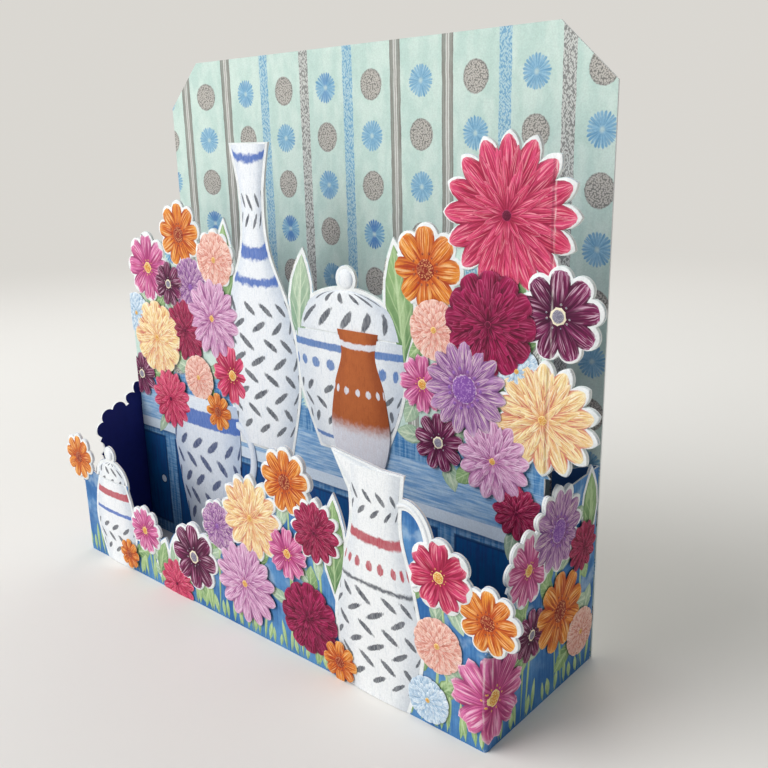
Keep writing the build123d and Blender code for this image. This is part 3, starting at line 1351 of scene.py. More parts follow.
PEONY = (
    Ring(Outline.ROUND, 1.0, 0.35, 1.0, 1.36, 0.0, 0.14),
    Ring(Outline.ROUND, 1.1, 0.3, 0.85, 1.2, 0.045, 0.14, 0.5),
    Ring(Outline.ROUND, 1.0, 0.2, 0.69, 1.2, 0.09, 0.14, 0.2),
    Ring(Outline.ROUND, 0.85, 0.12, 0.52, 1.2, 0.14, 0.14, 0.5),
    Ring(Outline.ROUND, 0.6, 0.02, 0.34, 1.25, 0.19, 0.14),
)
POMPON = (
    Ring(Outline.ROUND, 1.3, 0.6, 1.0, 1.25, 0.0, 0.11),
    Ring(Outline.ROUND, 1.3, 0.5, 0.86, 1.15, 0.04, 0.11, 0.5),
    Ring(Outline.ROUND, 1.2, 0.36, 0.71, 1.15, 0.08, 0.11, 0.2),
    Ring(Outline.ROUND, 1.0, 0.22, 0.54, 1.15, 0.12, 0.11, 0.5),
    Ring(Outline.ROUND, 0.7, 0.06, 0.36, 1.2, 0.16, 0.11),
)


class Kind(Enum):
    """Kinds of flower on the card; a piece is named for its kind."""

    PLUM_DAISIES = Species(DAISY, PLUM, CREAM_HEART, 0.24, 0.2, 9)
    ORANGE_DAISIES = Species(DAISY, ORANGE, RUST_HEART, 0.31, 0.24, 14)
    CRIMSON_ASTERS = Species(ASTER, CRIMSON, WINE_HEART, 0.09, 0.2, pointed=True)
    CORAL_ASTERS = Species(ASTER, CORAL, WINE_HEART, 0.09, 0.2, pointed=True)
    PINK_ASTERS = Species(ASTER, PINK, GOLD_HEART, 0.1, 0.2, 6, pointed=True)
    LILAC_ASTERS = Species(RAYS, LILAC, PLUM_HEART, 0.32, 0.24, 14, pointed=True)
    CREAM_ASTERS = Species(ASTER, CREAM, GOLD_HEART, 0.1, 0.2, pointed=True)
    CREAM_PEONIES = Species(PEONY, CREAM, GOLD_HEART, 0.1, 0.2)
    WINE_PEONIES = Species(PEONY, WINE, WINE_HEART, 0.08, 0.2)
    LILAC_POMPONS = Species(POMPON, LILAC, PLUM_HEART, 0.12, 0.2)
    MIST_POMPONS = Species(POMPON, MIST, GOLD_HEART, 0.12, 0.2)
    BLUSH_POMPONS = Species(POMPON, BLUSH, GOLD_HEART, 0.12, 0.2)
    ROSE_COSMOS = Species(COSMOS, ROSE, GOLD_HEART, 0.2, 0.22, 10)
    CORAL_COSMOS = Species(COSMOS, CORAL, GOLD_HEART, 0.2, 0.22, 10)


@dataclass(frozen=True)
class Flower:
    """One printed flower: kind, place, radius, petals, level over its neighbours, and if it is cut round."""

    kind: Kind
    across: float
    up: float
    radius: float
    petals: int
    level: int
    cut: bool = True

    def spread(self) -> float:
        """Radius of the printed petals, which come near the cut line where the flower is cut round."""
        return self.radius + (PETAL_GROWTH if self.cut else 0.0)

    def top(self) -> float:
        """Height of the flower's plate."""
        return self.level * LEVEL_STEP + PLATE_RISE


@dataclass
class FlowerMaker:
    """Makes flowers and their borders from shared petals; sizes are shares, the lift millimetres."""

    seed: int
    least_petals: int = 3
    petal_sway: float = 0.05
    shortest_petal: float = 0.97
    overlap_lift: float = 0.02
    heart_faces: tuple[int, int] = (18, 8)
    seed_faces: tuple[int, int] = (8, 4)
    seed_sway: float = 0.2
    seed_ring: Span = (1.12, 1.32)
    seed_radius: float = 0.16
    seed_rise: float = 0.7
    rim_parts: int = 8
    border_share: float = 0.95
    petals: dict[Outline, bpy.types.Mesh] = field(init=False)
    chance: random.Random = field(init=False)

    def __post_init__(self) -> None:
        """Prepares one petal of each outline and the chance for sizes and tones."""
        self.petals = {outline: PetalForm(outline).data() for outline in Outline}
        self.chance = random.Random(self.seed)

    def tint(self, shape: Shape, first: int) -> list[bmesh.types.BMFace]:
        """Gives the faces from a number onwards one chance value.

        Args:
            shape: The flower so far.
            first: Number of the first face.

        Returns:
            Those faces.
        """
        shape.faces.ensure_lookup_table()
        tone = shape.faces.layers.float[PETAL_TONE]
        value = self.chance.random()
        faces = shape.faces[first:]
        for face in faces:
            face[tone] = value
        return faces

    def stamp(self, shape: Shape, outline: Outline, matrix: Matrix) -> None:
        """Adds one petal to a shape.

        Args:
            shape: The flower so far.
            outline: Which petal to copy.
            matrix: Where it goes, from the unit petal.
        """
        verts_before, faces_before = len(shape.verts), len(shape.faces)
        shape.from_mesh(self.petals[outline])
        shape.verts.ensure_lookup_table()
        bmesh.ops.transform(shape, matrix=matrix, verts=shape.verts[verts_before:])
        self.tint(shape, faces_before)

    def ring(self, shape: Shape, flower: Flower, ring: Ring) -> None:
        """Adds one ring of petals to a flower.

        Args:
            shape: The flower so far.
            flower: The flower's place and size.
            ring: The ring's form.
        """
        count = max(self.least_petals, round(flower.petals * ring.share))
        step = TAU / count
        radius = flower.spread()
        middle = (ring.start + ring.reach) / 2 * radius
        width = ring.width * step * middle
        for petal in range(count):
            sway = self.chance.uniform(-self.petal_sway, self.petal_sway) * step
            angle = FIRST_PETAL + (petal + ring.turn) * step + sway
            length = (ring.reach * self.chance.uniform(self.shortest_petal, 1.0) - ring.start) * radius
            lift = flower.top() + ring.lift + self.overlap_lift * (petal % 2)
            matrix = (
                Matrix.Translation((flower.across, flower.up, lift))
                @ Matrix.Rotation(angle - QUARTER_TURN, 4, "Z")
                @ Matrix.Translation((0, ring.start * radius, 0))
                @ Matrix.Diagonal((width, length, ring.crown, 1))
            )
            self.stamp(shape, ring.outline, matrix)

    def heart(self, shape: Shape, flower: Flower) -> None:
        """Adds the flower's domed heart and the seeds round it.

        Args:
            shape: The flower so far.
            flower: The flower's kind, place and size.
        """
        species = flower.kind.value
        radius = species.heart_radius * flower.radius
        top = flower.top() + max(ring.lift for ring in species.rings)
        centre = Vector((flower.across, flower.up, top))
        self.dome(shape, centre, radius, species.heart_rise, self.heart_faces)
        for seed in range(species.seeds):
            angle = TAU * (seed + self.chance.uniform(-self.seed_sway, self.seed_sway)) / species.seeds
            away = radius * self.chance.uniform(*self.seed_ring)
            place = centre + Vector((math.cos(angle) * away, math.sin(angle) * away, self.overlap_lift))
            rise = species.heart_rise * self.seed_rise
            self.dome(shape, place, radius * self.seed_radius, rise, self.seed_faces)

    def dome(
        self, shape: Shape, centre: Vector, radius: float, rise: float, faces: tuple[int, int]
    ) -> None:
        """Adds a low closed dome in the heart's ink.

        Args:
            shape: The flower so far.
            centre: Middle of its foot.
            radius: Its radius.
            rise: Its height.
            faces: Faces round it and from pole to pole.
        """
        faces_before = len(shape.faces)
        matrix = Matrix.Translation(centre) @ Matrix.Diagonal((radius, radius, rise, 1))
        bmesh.ops.create_uvsphere(shape, u_segments=faces[0], v_segments=faces[1], radius=1.0, matrix=matrix)
        uv = shape.loops.layers.uv[PRINT_UV]
        for face in self.tint(shape, faces_before):
            face.material_index = 1
            for loop in face.loops:
                offset = loop.vert.co - centre
                around = math.atan2(offset.y, offset.x) / TAU + 0.5
                loop[uv].uv = (around, math.hypot(offset.x, offset.y) / radius)

    def flower(self, flower: Flower) -> Shape:
        """Makes one flower on its place on the print.

        Args:
            flower: Its kind, place and size.

        Returns:
            The flower's mesh, in millimetres.
        """
        shape = new_print()
        for ring in flower.kind.value.rings:
            self.ring(shape, flower, ring)
        self.heart(shape, flower)
        bmesh.ops.translate(shape, verts=shape.verts[:], vec=PRINT_SHIFT)
        return shape

    def plate(self, flower: Flower) -> Shape:
        """Makes the white border that a flower stands on, with a soft embossed rim.

        Args:
            flower: Its kind, place and size.

        Returns:
            The border's mesh, in millimetres.
        """
        shape = new_print()
        tip = flower.radius + BORDER * self.border_share if flower.cut else flower.radius * HIDDEN_PLATE
        bmesh.ops.create_circle(shape, cap_ends=True, segments=flower.petals * self.rim_parts, radius=1.0)
        step = TAU / flower.petals
        cut_line = pointed_reach if flower.kind.value.pointed else round_reach
        for vert in shape.verts:
            angle = math.atan2(vert.co.y, vert.co.x)
            reach = cut_line(tip, step, (angle - FIRST_PETAL + step / 2) % step - step / 2)
            vert.co = (math.cos(angle) * reach, math.sin(angle) * reach, -SINK)
        raise_plate(shape, flower.top() + SINK)
        bmesh.ops.translate(shape, verts=shape.verts[:], vec=(flower.across, flower.up, 0))
        return shape


def raise_plate(shape: Shape, rise: float) -> None:
    """Extrudes a flat outline upwards and softens its upper rim.

    Args:
        shape: A flat outline.
        rise: Height of the plate.
    """
    made = bmesh.ops.extrude_face_region(shape, geom=shape.faces[:])["geom"]
    top = [item for item in made if isinstance(item, bmesh.types.BMVert)]
    bmesh.ops.translate(shape, verts=top, vec=(0, 0, rise))
    rim = [item for item in made if isinstance(item, bmesh.types.BMEdge) and len(item.link_faces) == 2]
    bmesh.ops.bevel(
        shape,
        geom=rim,
        offset=RIM_BEVEL,
        segments=2,
        profile=0.5,
        affect="EDGES",
        material=-1,
        clamp_overlap=True,
    )


def round_reach(tip: float, step: float, bend: float) -> float:
    """Radius of the cut line over a round petal, at an angle from the petal's middle.

    Args:
        tip: Radius at the middle of the petal.
        step: Angle of one petal.
        bend: Angle from the petal's middle.

    Returns:
        The radius there.
    """
    valley = tip * ROUND_VALLEY
    centre = (tip**2 - valley**2) / (2 * (tip - valley * math.cos(step / 2)))
    bow = tip - centre
    return centre * math.cos(bend) + math.sqrt(max(0.0, bow**2 - (centre * math.sin(bend)) ** 2))


def pointed_reach(tip: float, step: float, bend: float) -> float:
    """Radius of the cut line over a pointed petal, at an angle from the petal's middle.

    Args:
        tip: Radius at the tip.
        step: Angle of one petal.
        bend: Angle from the petal's middle.

    Returns:
        The radius there.
    """
    valley = tip * POINTED_VALLEY
    arc = ((valley, step / 2), ((tip + valley) / 2, step * POINTED_SHOULDER), (tip, 0.0))
    start, belly, end = [Vector((math.cos(turn), math.sin(turn))) * reach for reach, turn in arc]
    squares = [place.length_squared - start.length_squared for place in (belly, end)]
    centre = Matrix((belly - start, end - start)).inverted() @ Vector(squares) / 2
    along = Vector((math.cos(bend), math.sin(abs(bend)))).dot(centre)
    bow = (end - centre).length_squared
    return along + math.sqrt(max(0.0, along**2 - centre.length_squared + bow))


class Sheet:
    """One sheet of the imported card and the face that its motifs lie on."""

    reach = 1.0

    def __init__(self, node: bpy.types.Object, panel: Panel) -> None:
        """Keeps the sheet's node and prepares the search for its board.

        Args:
            node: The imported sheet.
            panel: Its printed face.
        """
        self.node = node
        self.panel = panel
        verts = [vert.co for vert in node.data.vertices]
        self.tree = BVHTree.FromPolygons(verts, [face.vertices[:] for face in node.data.polygons])

    def covers(self, across: float, up: float) -> bool:
        """Whether there is board behind a place on the print."""
        start = self.panel.lay(across, up, self.reach)
        end = self.panel.lay(across, up, -self.reach / 4)
        return self.tree.ray_cast(start, (end - start).normalized(), (end - start).length)[0] is not None

    def keep_on(self, shape: Shape, middle: Vector, margin: float) -> None:
        """Draws the places of a motif that lie past the cut line back towards its middle.

        Args:
            shape: The motif, on its print.
            middle: The motif's middle.
            margin: Distance to keep inside the cut line.
        """
        shares = [1 - step / DRAW_STEPS for step in range(DRAW_STEPS)]
        drawn = 0
        for vert in shape.verts:
            away = vert.co.xy - middle
            edge = away.normalized() * margin
            share = next((part for part in shares if self.covers(*(middle + away * part + edge))), 0.0)
            vert.co.xy = middle + away * share
            drawn += share < 1
        if drawn:
            LOG.info("%s: %d places drawn in to the cut line", self.node.name, drawn)

    def dress(self, ink: BoardPrint) -> None:
        """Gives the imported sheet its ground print.

        Args:
            ink: The print.
        """
        materials = self.node.data.materials
        if not materials:
            materials.append(dressed(ink))
        for place in range(len(materials)):
            materials[place] = dressed(ink)
        LOG.info("%s: %s", self.node.name, ink.name)


@dataclass(frozen=True)
class Relief:
    """How a motif stands on its sheet: distance inside its outline, height of its foot and of its crown."""

    inset: float
    base: float
    crown: float


LEAF_BORDER = Relief(0.06, 0.0, 0.12)
LEAF_PRINT = Relief(BORDER * 0.9, 0.1, 0.15)
SPRAY_PRINT = Relief(0.0, 0.0, 0.11)
GRASS_PRINT = Relief(0.0, 0.0, 0.1)
JAR_BORDER = Relief(0.08, 0.1, 0.05)


@dataclass(frozen=True)
class Leaf:
    """One printed leaf from foot to tip, with its half width at the middle."""

    foot: Span
    tip: Span
    belly: float
    slack: float = 0.6

    def shape(self, maker: FlowerMaker, relief: Relief) -> Shape:
        """Makes the leaf on its place on the print.

        Args:
            maker: Holder of the unit leaf.
            relief: How it stands on the sheet.

        Returns:
            The leaf's mesh, in millimetres.
        """
        foot, tip = Vector((*self.foot, 0)), Vector((*self.tip, 0))
        axis = tip - foot
        start = foot + axis.normalized() * relief.inset * 2
        turn = math.atan2(axis.y, axis.x) - QUARTER_TURN
        scale = (2 * (self.belly - relief.inset), axis.length - 4 * relief.inset, relief.crown, 1)
        place = Matrix.Translation((start.x, start.y, relief.base))
        shape = new_print()
        maker.stamp(shape, Outline.LEAF, place @ Matrix.Rotation(turn, 4, "Z") @ Matrix.Diagonal(scale))
        return shape

    def corners(self) -> list[Span]:
        """Tip and both bellies, which have to lie on the board.

        Returns:
            Their places on the print.
        """
        foot, tip = Vector(self.foot), Vector(self.tip)
        axis = tip - foot
        side = Vector((-axis.y, axis.x)).normalized() * self.belly
        middle = (foot + tip) / 2
        return [tuple(tip + axis.normalized() * self.slack), tuple(middle + side), tuple(middle - side)]


@dataclass
class FlowerBed:
    """Flowers of one layer, with their borders, leaves between them and grass along the foot."""

    name: str
    slot: str
    sheet: Sheet
    flowers: tuple[Flower, ...]
    leaves: tuple[Leaf, ...] = ()
    sprays: int = 3
    grass: tuple[float, float, int] | None = None
    seed: int = 1
    spray_sway: float = 0.25
    spray_foot: float = 0.5
    spray_start: float = 1.05
    spray_reach: Span = (3.0, 6.5)
    spray_belly: Span = (1.7, 2.7)
    stem_sway: float = 2.5
    stem_belly: float = 0.42
    grass_foot: float = 0.3
    blade_shift: Span = (0.1, 0.9)
    blade_height: Span = (3.5, 11.0)
    blade_lean: float = 0.22
    blade_belly: Span = (0.5, 1.1)
    maker: FlowerMaker = field(init=False)
    chance: random.Random = field(init=False)

    def __post_init__(self) -> None:
        """Starts the bed's own chance values."""
        self.maker = FlowerMaker(self.seed)
        self.chance = random.Random(self.seed + 1000)

    def build(self) -> None:
        """Makes the bed's pieces."""
        self.build_flowers()
        self.build_borders()
        self.build_leaves()
        if self.grass:
            self.build_grass(*self.grass)

    def build_flowers(self) -> None:
        """Makes one piece for each kind of flower."""
        piles: dict[Kind, Pile] = {}
        for flower in self.flowers:
            species = flower.kind.value
            if flower.kind not in piles:
                name = f"{self.name}_{flower.kind.name.lower()}"
                piles[flower.kind] = Pile(name, self.slot, species.ink, species.heart)
            shape = self.kept(flower, self.maker.flower(flower), PETAL_MARGIN)
            piles[flower.kind].add(shape, self.sheet.panel)
        for pile in piles.values():
            pile.close()

    def kept(self, flower: Flower, shape: Shape, margin: float) -> Shape:
        """A flower's shape, drawn in to the cut line if it is cut round."""
        if flower.cut:
            self.sheet.keep_on(shape, Vector((flower.across, flower.up)), margin)
        return shape

    def build_borders(self) -> None:
        """Makes the white borders of flowers and leaves at the cut line."""
        pile = Pile(f"{self.name}_borders", self.slot, BORDER_INK)
        for flower in self.flowers:
            pile.add(self.kept(flower, self.maker.plate(flower), 0.0), self.sheet.panel)
        for leaf in self.leaves:
            pile.add(leaf.shape(self.maker, LEAF_BORDER), self.sheet.panel)
        pile.close()

    def spray(self, flower: Flower) -> Iterable[Leaf]:
        """Leaves that look out from under a flower.

        Args:
            flower: The flower that they belong to.

        Returns:
            Those that lie on the board.
        """
        turn = self.chance.uniform(0, TAU)
        for step in range(self.sprays):
            sway = self.chance.uniform(-self.spray_sway, self.spray_sway)
            angle = turn + TAU * (step + sway) / self.sprays
            reach = flower.radius * self.spray_start + self.chance.uniform(*self.spray_reach)
            foot, tip = [
                (flower.across + math.cos(angle) * away, flower.up + math.sin(angle) * away)
                for away in (flower.radius * self.spray_foot, reach)
            ]
            leaf = Leaf(foot, tip, self.chance.uniform(*self.spray_belly))
            if all(self.sheet.covers(*corner) for corner in leaf.corners()):
                yield leaf

    def build_leaves(self) -> None:
        """Makes two pieces of leaves, in two greens."""
        sprays = [leaf for flower in self.flowers for leaf in self.spray(flower)]
        for place, ink in enumerate((LEAF_GREEN, LEAF_GREY)):
            pile = Pile(f"{self.name}_{ink.name}", self.slot, ink)
            for leaves, relief in ((self.leaves, LEAF_PRINT), (sprays, SPRAY_PRINT)):
                for leaf in leaves[place::2]:
                    pile.add(leaf.shape(self.maker, relief), self.sheet.panel)
            pile.close()

    def build_grass(self, start: float, end: float, count: int) -> None:
        """Makes stems down from the flowers and blades of grass along the bottom edge.

        Args:
            start: First place across.
            end: Last place across.
            count: Number of blades.
        """
        pile = Pile(f"{self.name}_grass", self.slot, GRASS_GREEN)
        stems = []
        for flower in self.flowers:
            across = flower.across + self.chance.uniform(-self.stem_sway, self.stem_sway)
            stems.append(Leaf((across, self.grass_foot), (flower.across, flower.up), self.stem_belly))
        for blade in range(count):
            across = start + (end - start) * (blade + self.chance.uniform(*self.blade_shift)) / count
            height = self.chance.uniform(*self.blade_height)
            lean = self.chance.uniform(-self.blade_lean, self.blade_lean) * height
            belly = self.chance.uniform(*self.blade_belly)
            stems.append(Leaf((across, self.grass_foot), (across + lean, height), belly))
        for stem in stems:
            pile.add(stem.shape(self.maker, GRASS_PRINT), self.sheet.panel)
        pile.close()


def arch(side: float) -> float:
    """Height of a round arch at a side from -1 to 1."""
    return (1 - side**2) ** 0.5


def embossed(grid: tuple[int, int], place: PlaceRule, shares: Span = (0, 1)) -> Shape:
    """Shapes a grid by a rule and closes it down into the board.

    Args:
        grid: Faces across and along.
        place: Gives across, up and relief for a side from -1 to 1 and a share along from 0 to 1.
        shares: Part of the print's length that it takes.

    Returns:
        The closed mesh, in millimetres on the print.
    """
    shape = new_print()
    bmesh.ops.create_grid(shape, x_segments=grid[0], y_segments=grid[1], size=0.5, calc_uvs=True)
    uv = shape.loops.layers.uv[PRINT_UV]
    for face in shape.faces:
        for loop in face.loops:
            loop[uv].uv.y = shares[0] + (shares[1] - shares[0]) * loop[uv].uv.y
    for vert in shape.verts:
        vert.co = place(2 * vert.co.x, vert.co.y + 0.5)
    made = bmesh.ops.extrude_face_region(shape, geom=shape.faces[:])
    for item in made["geom"]:
        if isinstance(item, bmesh.types.BMVert):
            item.co.z = -SINK
    bmesh.ops.remove_doubles(shape, verts=shape.verts[:], dist=SAME_PLACE)
    bmesh.ops.recalc_face_normals(shape, faces=shape.faces[:])
    return shape


@dataclass(frozen=True)
class Handle:
    """Loop handle of a jar, in millimetres: its middle from the jar's axis, its half sizes and its width."""

    across: float
    up: float
    half_width: float
    half_height: float
    width: float = 2.6
    search_step: float = 0.02
    inner_inset: float = 0.6
    crown: float = 0.5


@dataclass(frozen=True)
class Lid:
    """Domed lid of a jar with a round knob, in millimetres."""

    half_width: float
    height: float
    knob: float
    crown: float = 0.8
    knob_crown: float = 0.9


@dataclass(frozen=True)
class Spout:
    """Three-cornered spout of a jar, in millimetres: its root, its tip and its end on the lip."""

    root: Span
    tip: Span
    end: Span
    corner_inset: float = 1.4
    crown: float = 0.4


BODY_GRID = (12, 28)
LID_GRID = (12, 10)
HANDLE_GRID = (4, 24)
SPOUT_GRID = (4, 6)
KNOB_FACES = (20, 10)
PLAIN_SHARE = 0.03
LID_SHARES = (0.2, 0.5)
SPOUT_SHARES = (0.93, 0.99)
FOOT_INSET = 0.9
FOOT_BLEED = 0.15


@dataclass(frozen=True)
class Vessel:
    """One printed jar: half profile from foot to lip, and its lid, handle and spout where it has them."""

    name: str
    across: float
    profile: tuple[Span, ...]
    ink: GlazeInk
    level: int = 0
    cut: bool = True
    lid: Lid | None = None
    handle: Handle | None = None
    spout: Spout | None = None
    crown: float = 0.42

    def half_width(self, up: float) -> float:
        """Half width at a height, on a smooth curve through the profile.

        Args:
            up: Height.

        Returns:
            The half width there.
        """
        widths, heights = zip(*self.profile)
        last = len(heights) - 1
        slopes = []
        for place in range(last + 1):
            low, high = max(0, place - 1), min(last, place + 1)
            slopes.append((widths[high] - widths[low]) / (heights[high] - heights[low]))
        place = max(index for index in range(last) if heights[index] <= up or index == 0)
        span = heights[place + 1] - heights[place]
        share = (up - heights[place]) / span
        ease = 3 * share**2 - 2 * share**3
        pull = slopes[place] * (share**3 - 2 * share**2 + share) + slopes[place + 1] * (share**3 - share**2)
        return widths[place] + (widths[place + 1] - widths[place]) * ease + span * pull

    def body(self, relief: Relief, side: float, along: float) -> Place:
        """Place on the jar's round body.

        Args:
            relief: How the jar stands on the sheet.
            side: From -1 at the left to 1 at the right.
            along: Share of the way from foot to lip.

        Returns:
            Across, up and relief.
        """
        bottom, top = self.profile[0][1], self.profile[-1][1]
        up = bottom + (top - bottom) * along
        foot = min(relief.inset, FOOT_INSET) if bottom > 0 else FOOT_BLEED
        shown = max(bottom + foot, min(top - relief.inset * 0.5, up))
        wide = self.half_width(up) - relief.inset
        return (self.across + side * wide, shown, relief.base + relief.crown * arch(side))

    def dome(self, relief: Relief, side: float, along: float) -> Place:
        """Place on the lid.

        Args:
            relief: How the jar stands on the sheet.
            side: From -1 at the left to 1 at the right.
            along: Share of the way from rim to knob.

        Returns:
            Across, up and relief.
        """
        angle = along * math.pi / 2
        wide = (self.lid.half_width - relief.inset) * math.cos(angle)
        up = self.profile[-1][1] + (self.lid.height - relief.inset) * math.sin(angle)
        rise = relief.crown * self.lid.crown * arch(side) * math.cos(angle) ** 0.5
        return (self.across + side * wide, up, relief.base + rise)

    def loop(self, relief: Relief, side: float, along: float) -> Place:
        """Place on the handle.

        Args:
            relief: How the jar stands on the sheet.
            side: From -1 at the inner edge to 1 at the outer edge.
            along: Share of the way from the lower end to the upper end.

        Returns:
            Across, up and relief.
        """
        handle = self.handle
        start, end = self.handle_ends()
        angle = start + (end - start) * along
        inner = handle.width - relief.inset * handle.inner_inset
        slack = relief.inset + (inner - relief.inset) * (1 - side) / 2
        across = self.across + handle.across + (handle.half_width - slack) * math.cos(angle)
        up = handle.up + (handle.half_height - slack) * math.sin(angle)
        return (across, up, relief.base + relief.crown * handle.crown * arch(side))

    def handle_ends(self) -> tuple[float, ...]:
        """Angles at which the handle comes out of the body, from below and from above.

        Returns:
            Both angles.
        """
        handle = self.handle
        ends = []
        for way in (-1, 1):
            angle = 0.0
            while abs(angle) < math.pi:
                height = handle.up + handle.half_height * math.sin(angle)
                inner = handle.across + (handle.half_width - handle.width) * math.cos(angle)
                if inner < self.half_width(height) - BORDER:
                    break
                angle += way * handle.search_step
            ends.append(angle)
        return tuple(ends)

    def lip(self, relief: Relief, side: float, along: float) -> Place:
        """Place on the spout.

        Args:
            relief: How the jar stands on the sheet.
            side: From -1 at the root to 1 at the end on the lip.
            along: Share of the way to the tip.

        Returns:
            Across, up and relief.
        """
        spout = self.spout
        places = [Vector(corner) for corner in (spout.root, spout.tip, spout.end)]
        middle = (places[0] + places[1] + places[2]) / 3
        inset = relief.inset * spout.corner_inset
        root, tip, end = [corner + (middle - corner).normalized() * inset for corner in places]
        place = root.lerp(end, (side + 1) / 2).lerp(tip, along)
        return (self.across + place.x, place.y, relief.base + relief.crown * spout.crown * arch(side))

    def knob(self, relief: Relief) -> Shape:
        """Makes the round knob on the lid.

        Args:
            relief: How the jar stands on the sheet.

        Returns:
            The mesh, in millimetres on the print.
        """
        shape = new_print()
        lid = self.lid
        radius = lid.knob - relief.inset
        up = self.profile[-1][1] + lid.height + lid.knob / 2
        place = Matrix.Translation((self.across, up, relief.base))
        matrix = place @ Matrix.Diagonal((radius, radius, relief.crown * lid.knob_crown, 1))
        around, poles = KNOB_FACES
        bmesh.ops.create_uvsphere(shape, u_segments=around, v_segments=poles, radius=1.0, matrix=matrix)
        uv = shape.loops.layers.uv[PRINT_UV]
        for face in shape.faces:
            for loop in face.loops:
                loop[uv].uv = (0.5 + (loop.vert.co.x - self.across) / radius / 2, PLAIN_SHARE)
        return shape

    def shapes(self, relief: Relief) -> Iterable[Shape]:
        """Handle, spout, body, lid and knob, where the jar has them.

        Args:
            relief: How they stand on the sheet.

        Returns:
            The meshes, in millimetres on the print.
        """
        if self.handle:
            yield embossed(HANDLE_GRID, partial(self.loop, relief), (PLAIN_SHARE, PLAIN_SHARE))
        if self.spout:
            yield embossed(SPOUT_GRID, partial(self.lip, relief), SPOUT_SHARES)
        yield embossed(BODY_GRID, partial(self.body, relief))
        if self.lid:
            yield embossed(LID_GRID, partial(self.dome, relief), LID_SHARES)
            yield self.knob(relief)

    def build(self, slot: str, sheet: Sheet, borders: Pile) -> None:
        """Makes the jar's piece and adds its white border to the layer's borders.

        Args:
            slot: The record's material slot.
            sheet: The sheet that it is printed on.
            borders: The layer's piece of borders.
        """
        if self.cut:
            for shape in self.shapes(JAR_BORDER):
                borders.add(shape, sheet.panel)
        pile = Pile(self.name, slot, self.ink)
        inset = BORDER if self.cut else 0.0
        for shape in self.shapes(Relief(inset, self.level * LEVEL_STEP + PLATE_RISE, self.crown)):
            pile.add(shape, sheet.panel)
        pile.close()


CHARCOAL = "3d424d"
INDIGO = "23386c"
GLAZE_BLUE = "2b5fb4"
SOFT_BLUE = "3f6fb0"
GLAZE_RED = "b3263c"
SLIP_WHITE = "e3e8f0"
LEAFED = GlazeInk(
    "leafed_glaze",
    "eef1f4",
    "b7c4d4",
    (
        Dabs(0.07, 0.53, CHARCOAL, 5.0, 8.0, 0.75, 0.2, 0.43),
        Dabs(0.75, 0.87, CHARCOAL, 4.0, 2.0, 0.75, 0.2, 0.43),
    ),
    (Band(0.575, 0.6, GLAZE_BLUE), Band(0.66, 0.7, GLAZE_BLUE), Band(0.96, 0.985, GLAZE_BLUE)),
)
DOTTED = GlazeInk(
    "dotted_glaze",
    "edf0f2",
    "b4c0cf",
    (
        Dabs(0.22, 0.6, CHARCOAL, 7.0, 3.0, 0.6, 0.2, 0.42),
        Dabs(0.66, 0.82, SOFT_BLUE, 9.0, 1.0, 0.0, 0.3, 0.34),
    ),
    (Band(0.86, 0.92, SOFT_BLUE), Band(0.12, 0.15, SOFT_BLUE)),
)
SPRIGGED = GlazeInk(
    "sprigged_glaze",
    "f0f2f2",
    "c3cbd4",
    (
        Dabs(0.08, 0.5, CHARCOAL, 5.0, 6.0, 0.75, 0.2, 0.43),
        Dabs(0.56, 0.65, GLAZE_RED, 8.0, 1.0, 0.0, 0.28, 0.3),
        Dabs(0.8, 0.93, CHARCOAL, 5.0, 2.0, 0.75, 0.2, 0.43),
    ),
    (Band(0.515, 0.53, CHARCOAL), Band(0.7, 0.74, GLAZE_RED)),
)
RINGED = GlazeInk(
    "ringed_glaze",
    "eff1f2",
    "bcc6d2",
    (Dabs(0.14, 0.52, CHARCOAL, 5.0, 3.0, 0.7, 0.21, 0.42),),
    (Band(0.62, 0.66, GLAZE_BLUE), Band(0.82, 0.9, GLAZE_RED)),
)
TERRACOTTA = GlazeInk(
    "terracotta_glaze",
    "b4602f",
    "86391a",
    (Dabs(0.56, 0.66, SLIP_WHITE, 7.0, 1.0, 0.0, 0.24, 0.3),),
    (Band(-0.2, 0.36, SLIP_WHITE, 0.06), Band(0.9, 0.94, SLIP_WHITE)),
)
BLUE_DABBED = GlazeInk(
    "blue_dabbed_glaze",
    "e3e9f1",
    "9db2d0",
    (Dabs(0.1, 0.76, INDIGO, 6.0, 5.0, 0.7, 0.22, 0.42),),
    (Band(0.82, 0.93, GLAZE_BLUE),),
)

FRONT_VESSELS = (
    Vessel("lidded_jar", -58.5, ((6.8, 0), (10.6, 12), (9.4, 21), (7.2, 27)), RINGED, lid=Lid(8.2, 6.4, 2.7)),
    Vessel(
        "water_jug",
        46.0,
        ((9, 0), (13.2, 15), (10.8, 31), (7.6, 43), (8.4, 56)),
        SPRIGGED,
        handle=Handle(8.5, 40.5, 7.5, 10.5),
        spout=Spout((-7.6, 49), (-12.6, 58), (2, 56)),
    ),
)
MIDDLE_VESSELS = (
    Vessel("tall_vase", -14.0, ((11, 40), (15.6, 62), (12.8, 80), (6, 95), (5, 109), (7.6, 122)), LEAFED),
    Vessel("tureen", 18.5, ((11, 46), (17.6, 62), (19.4, 77)), DOTTED, lid=Lid(18.4, 11.5, 3.4)),
    Vessel(
        "clay_pot",
        22.0,
        ((6.5, 41), (9.6, 52), (8.2, 64), (5.6, 72), (6.6, 78)),
        TERRACOTTA,
        level=3,
        cut=False,
    ),
    Vessel(
        "planter",
        -41.0,
        ((10.5, 5), (14.6, 26), (16, 44), (15.2, 50)),
        BLUE_DABBED,
        level=1,
        cut=False,
        handle=Handle(15.0, 35.5, 7.5, 10.5),
    ),
)

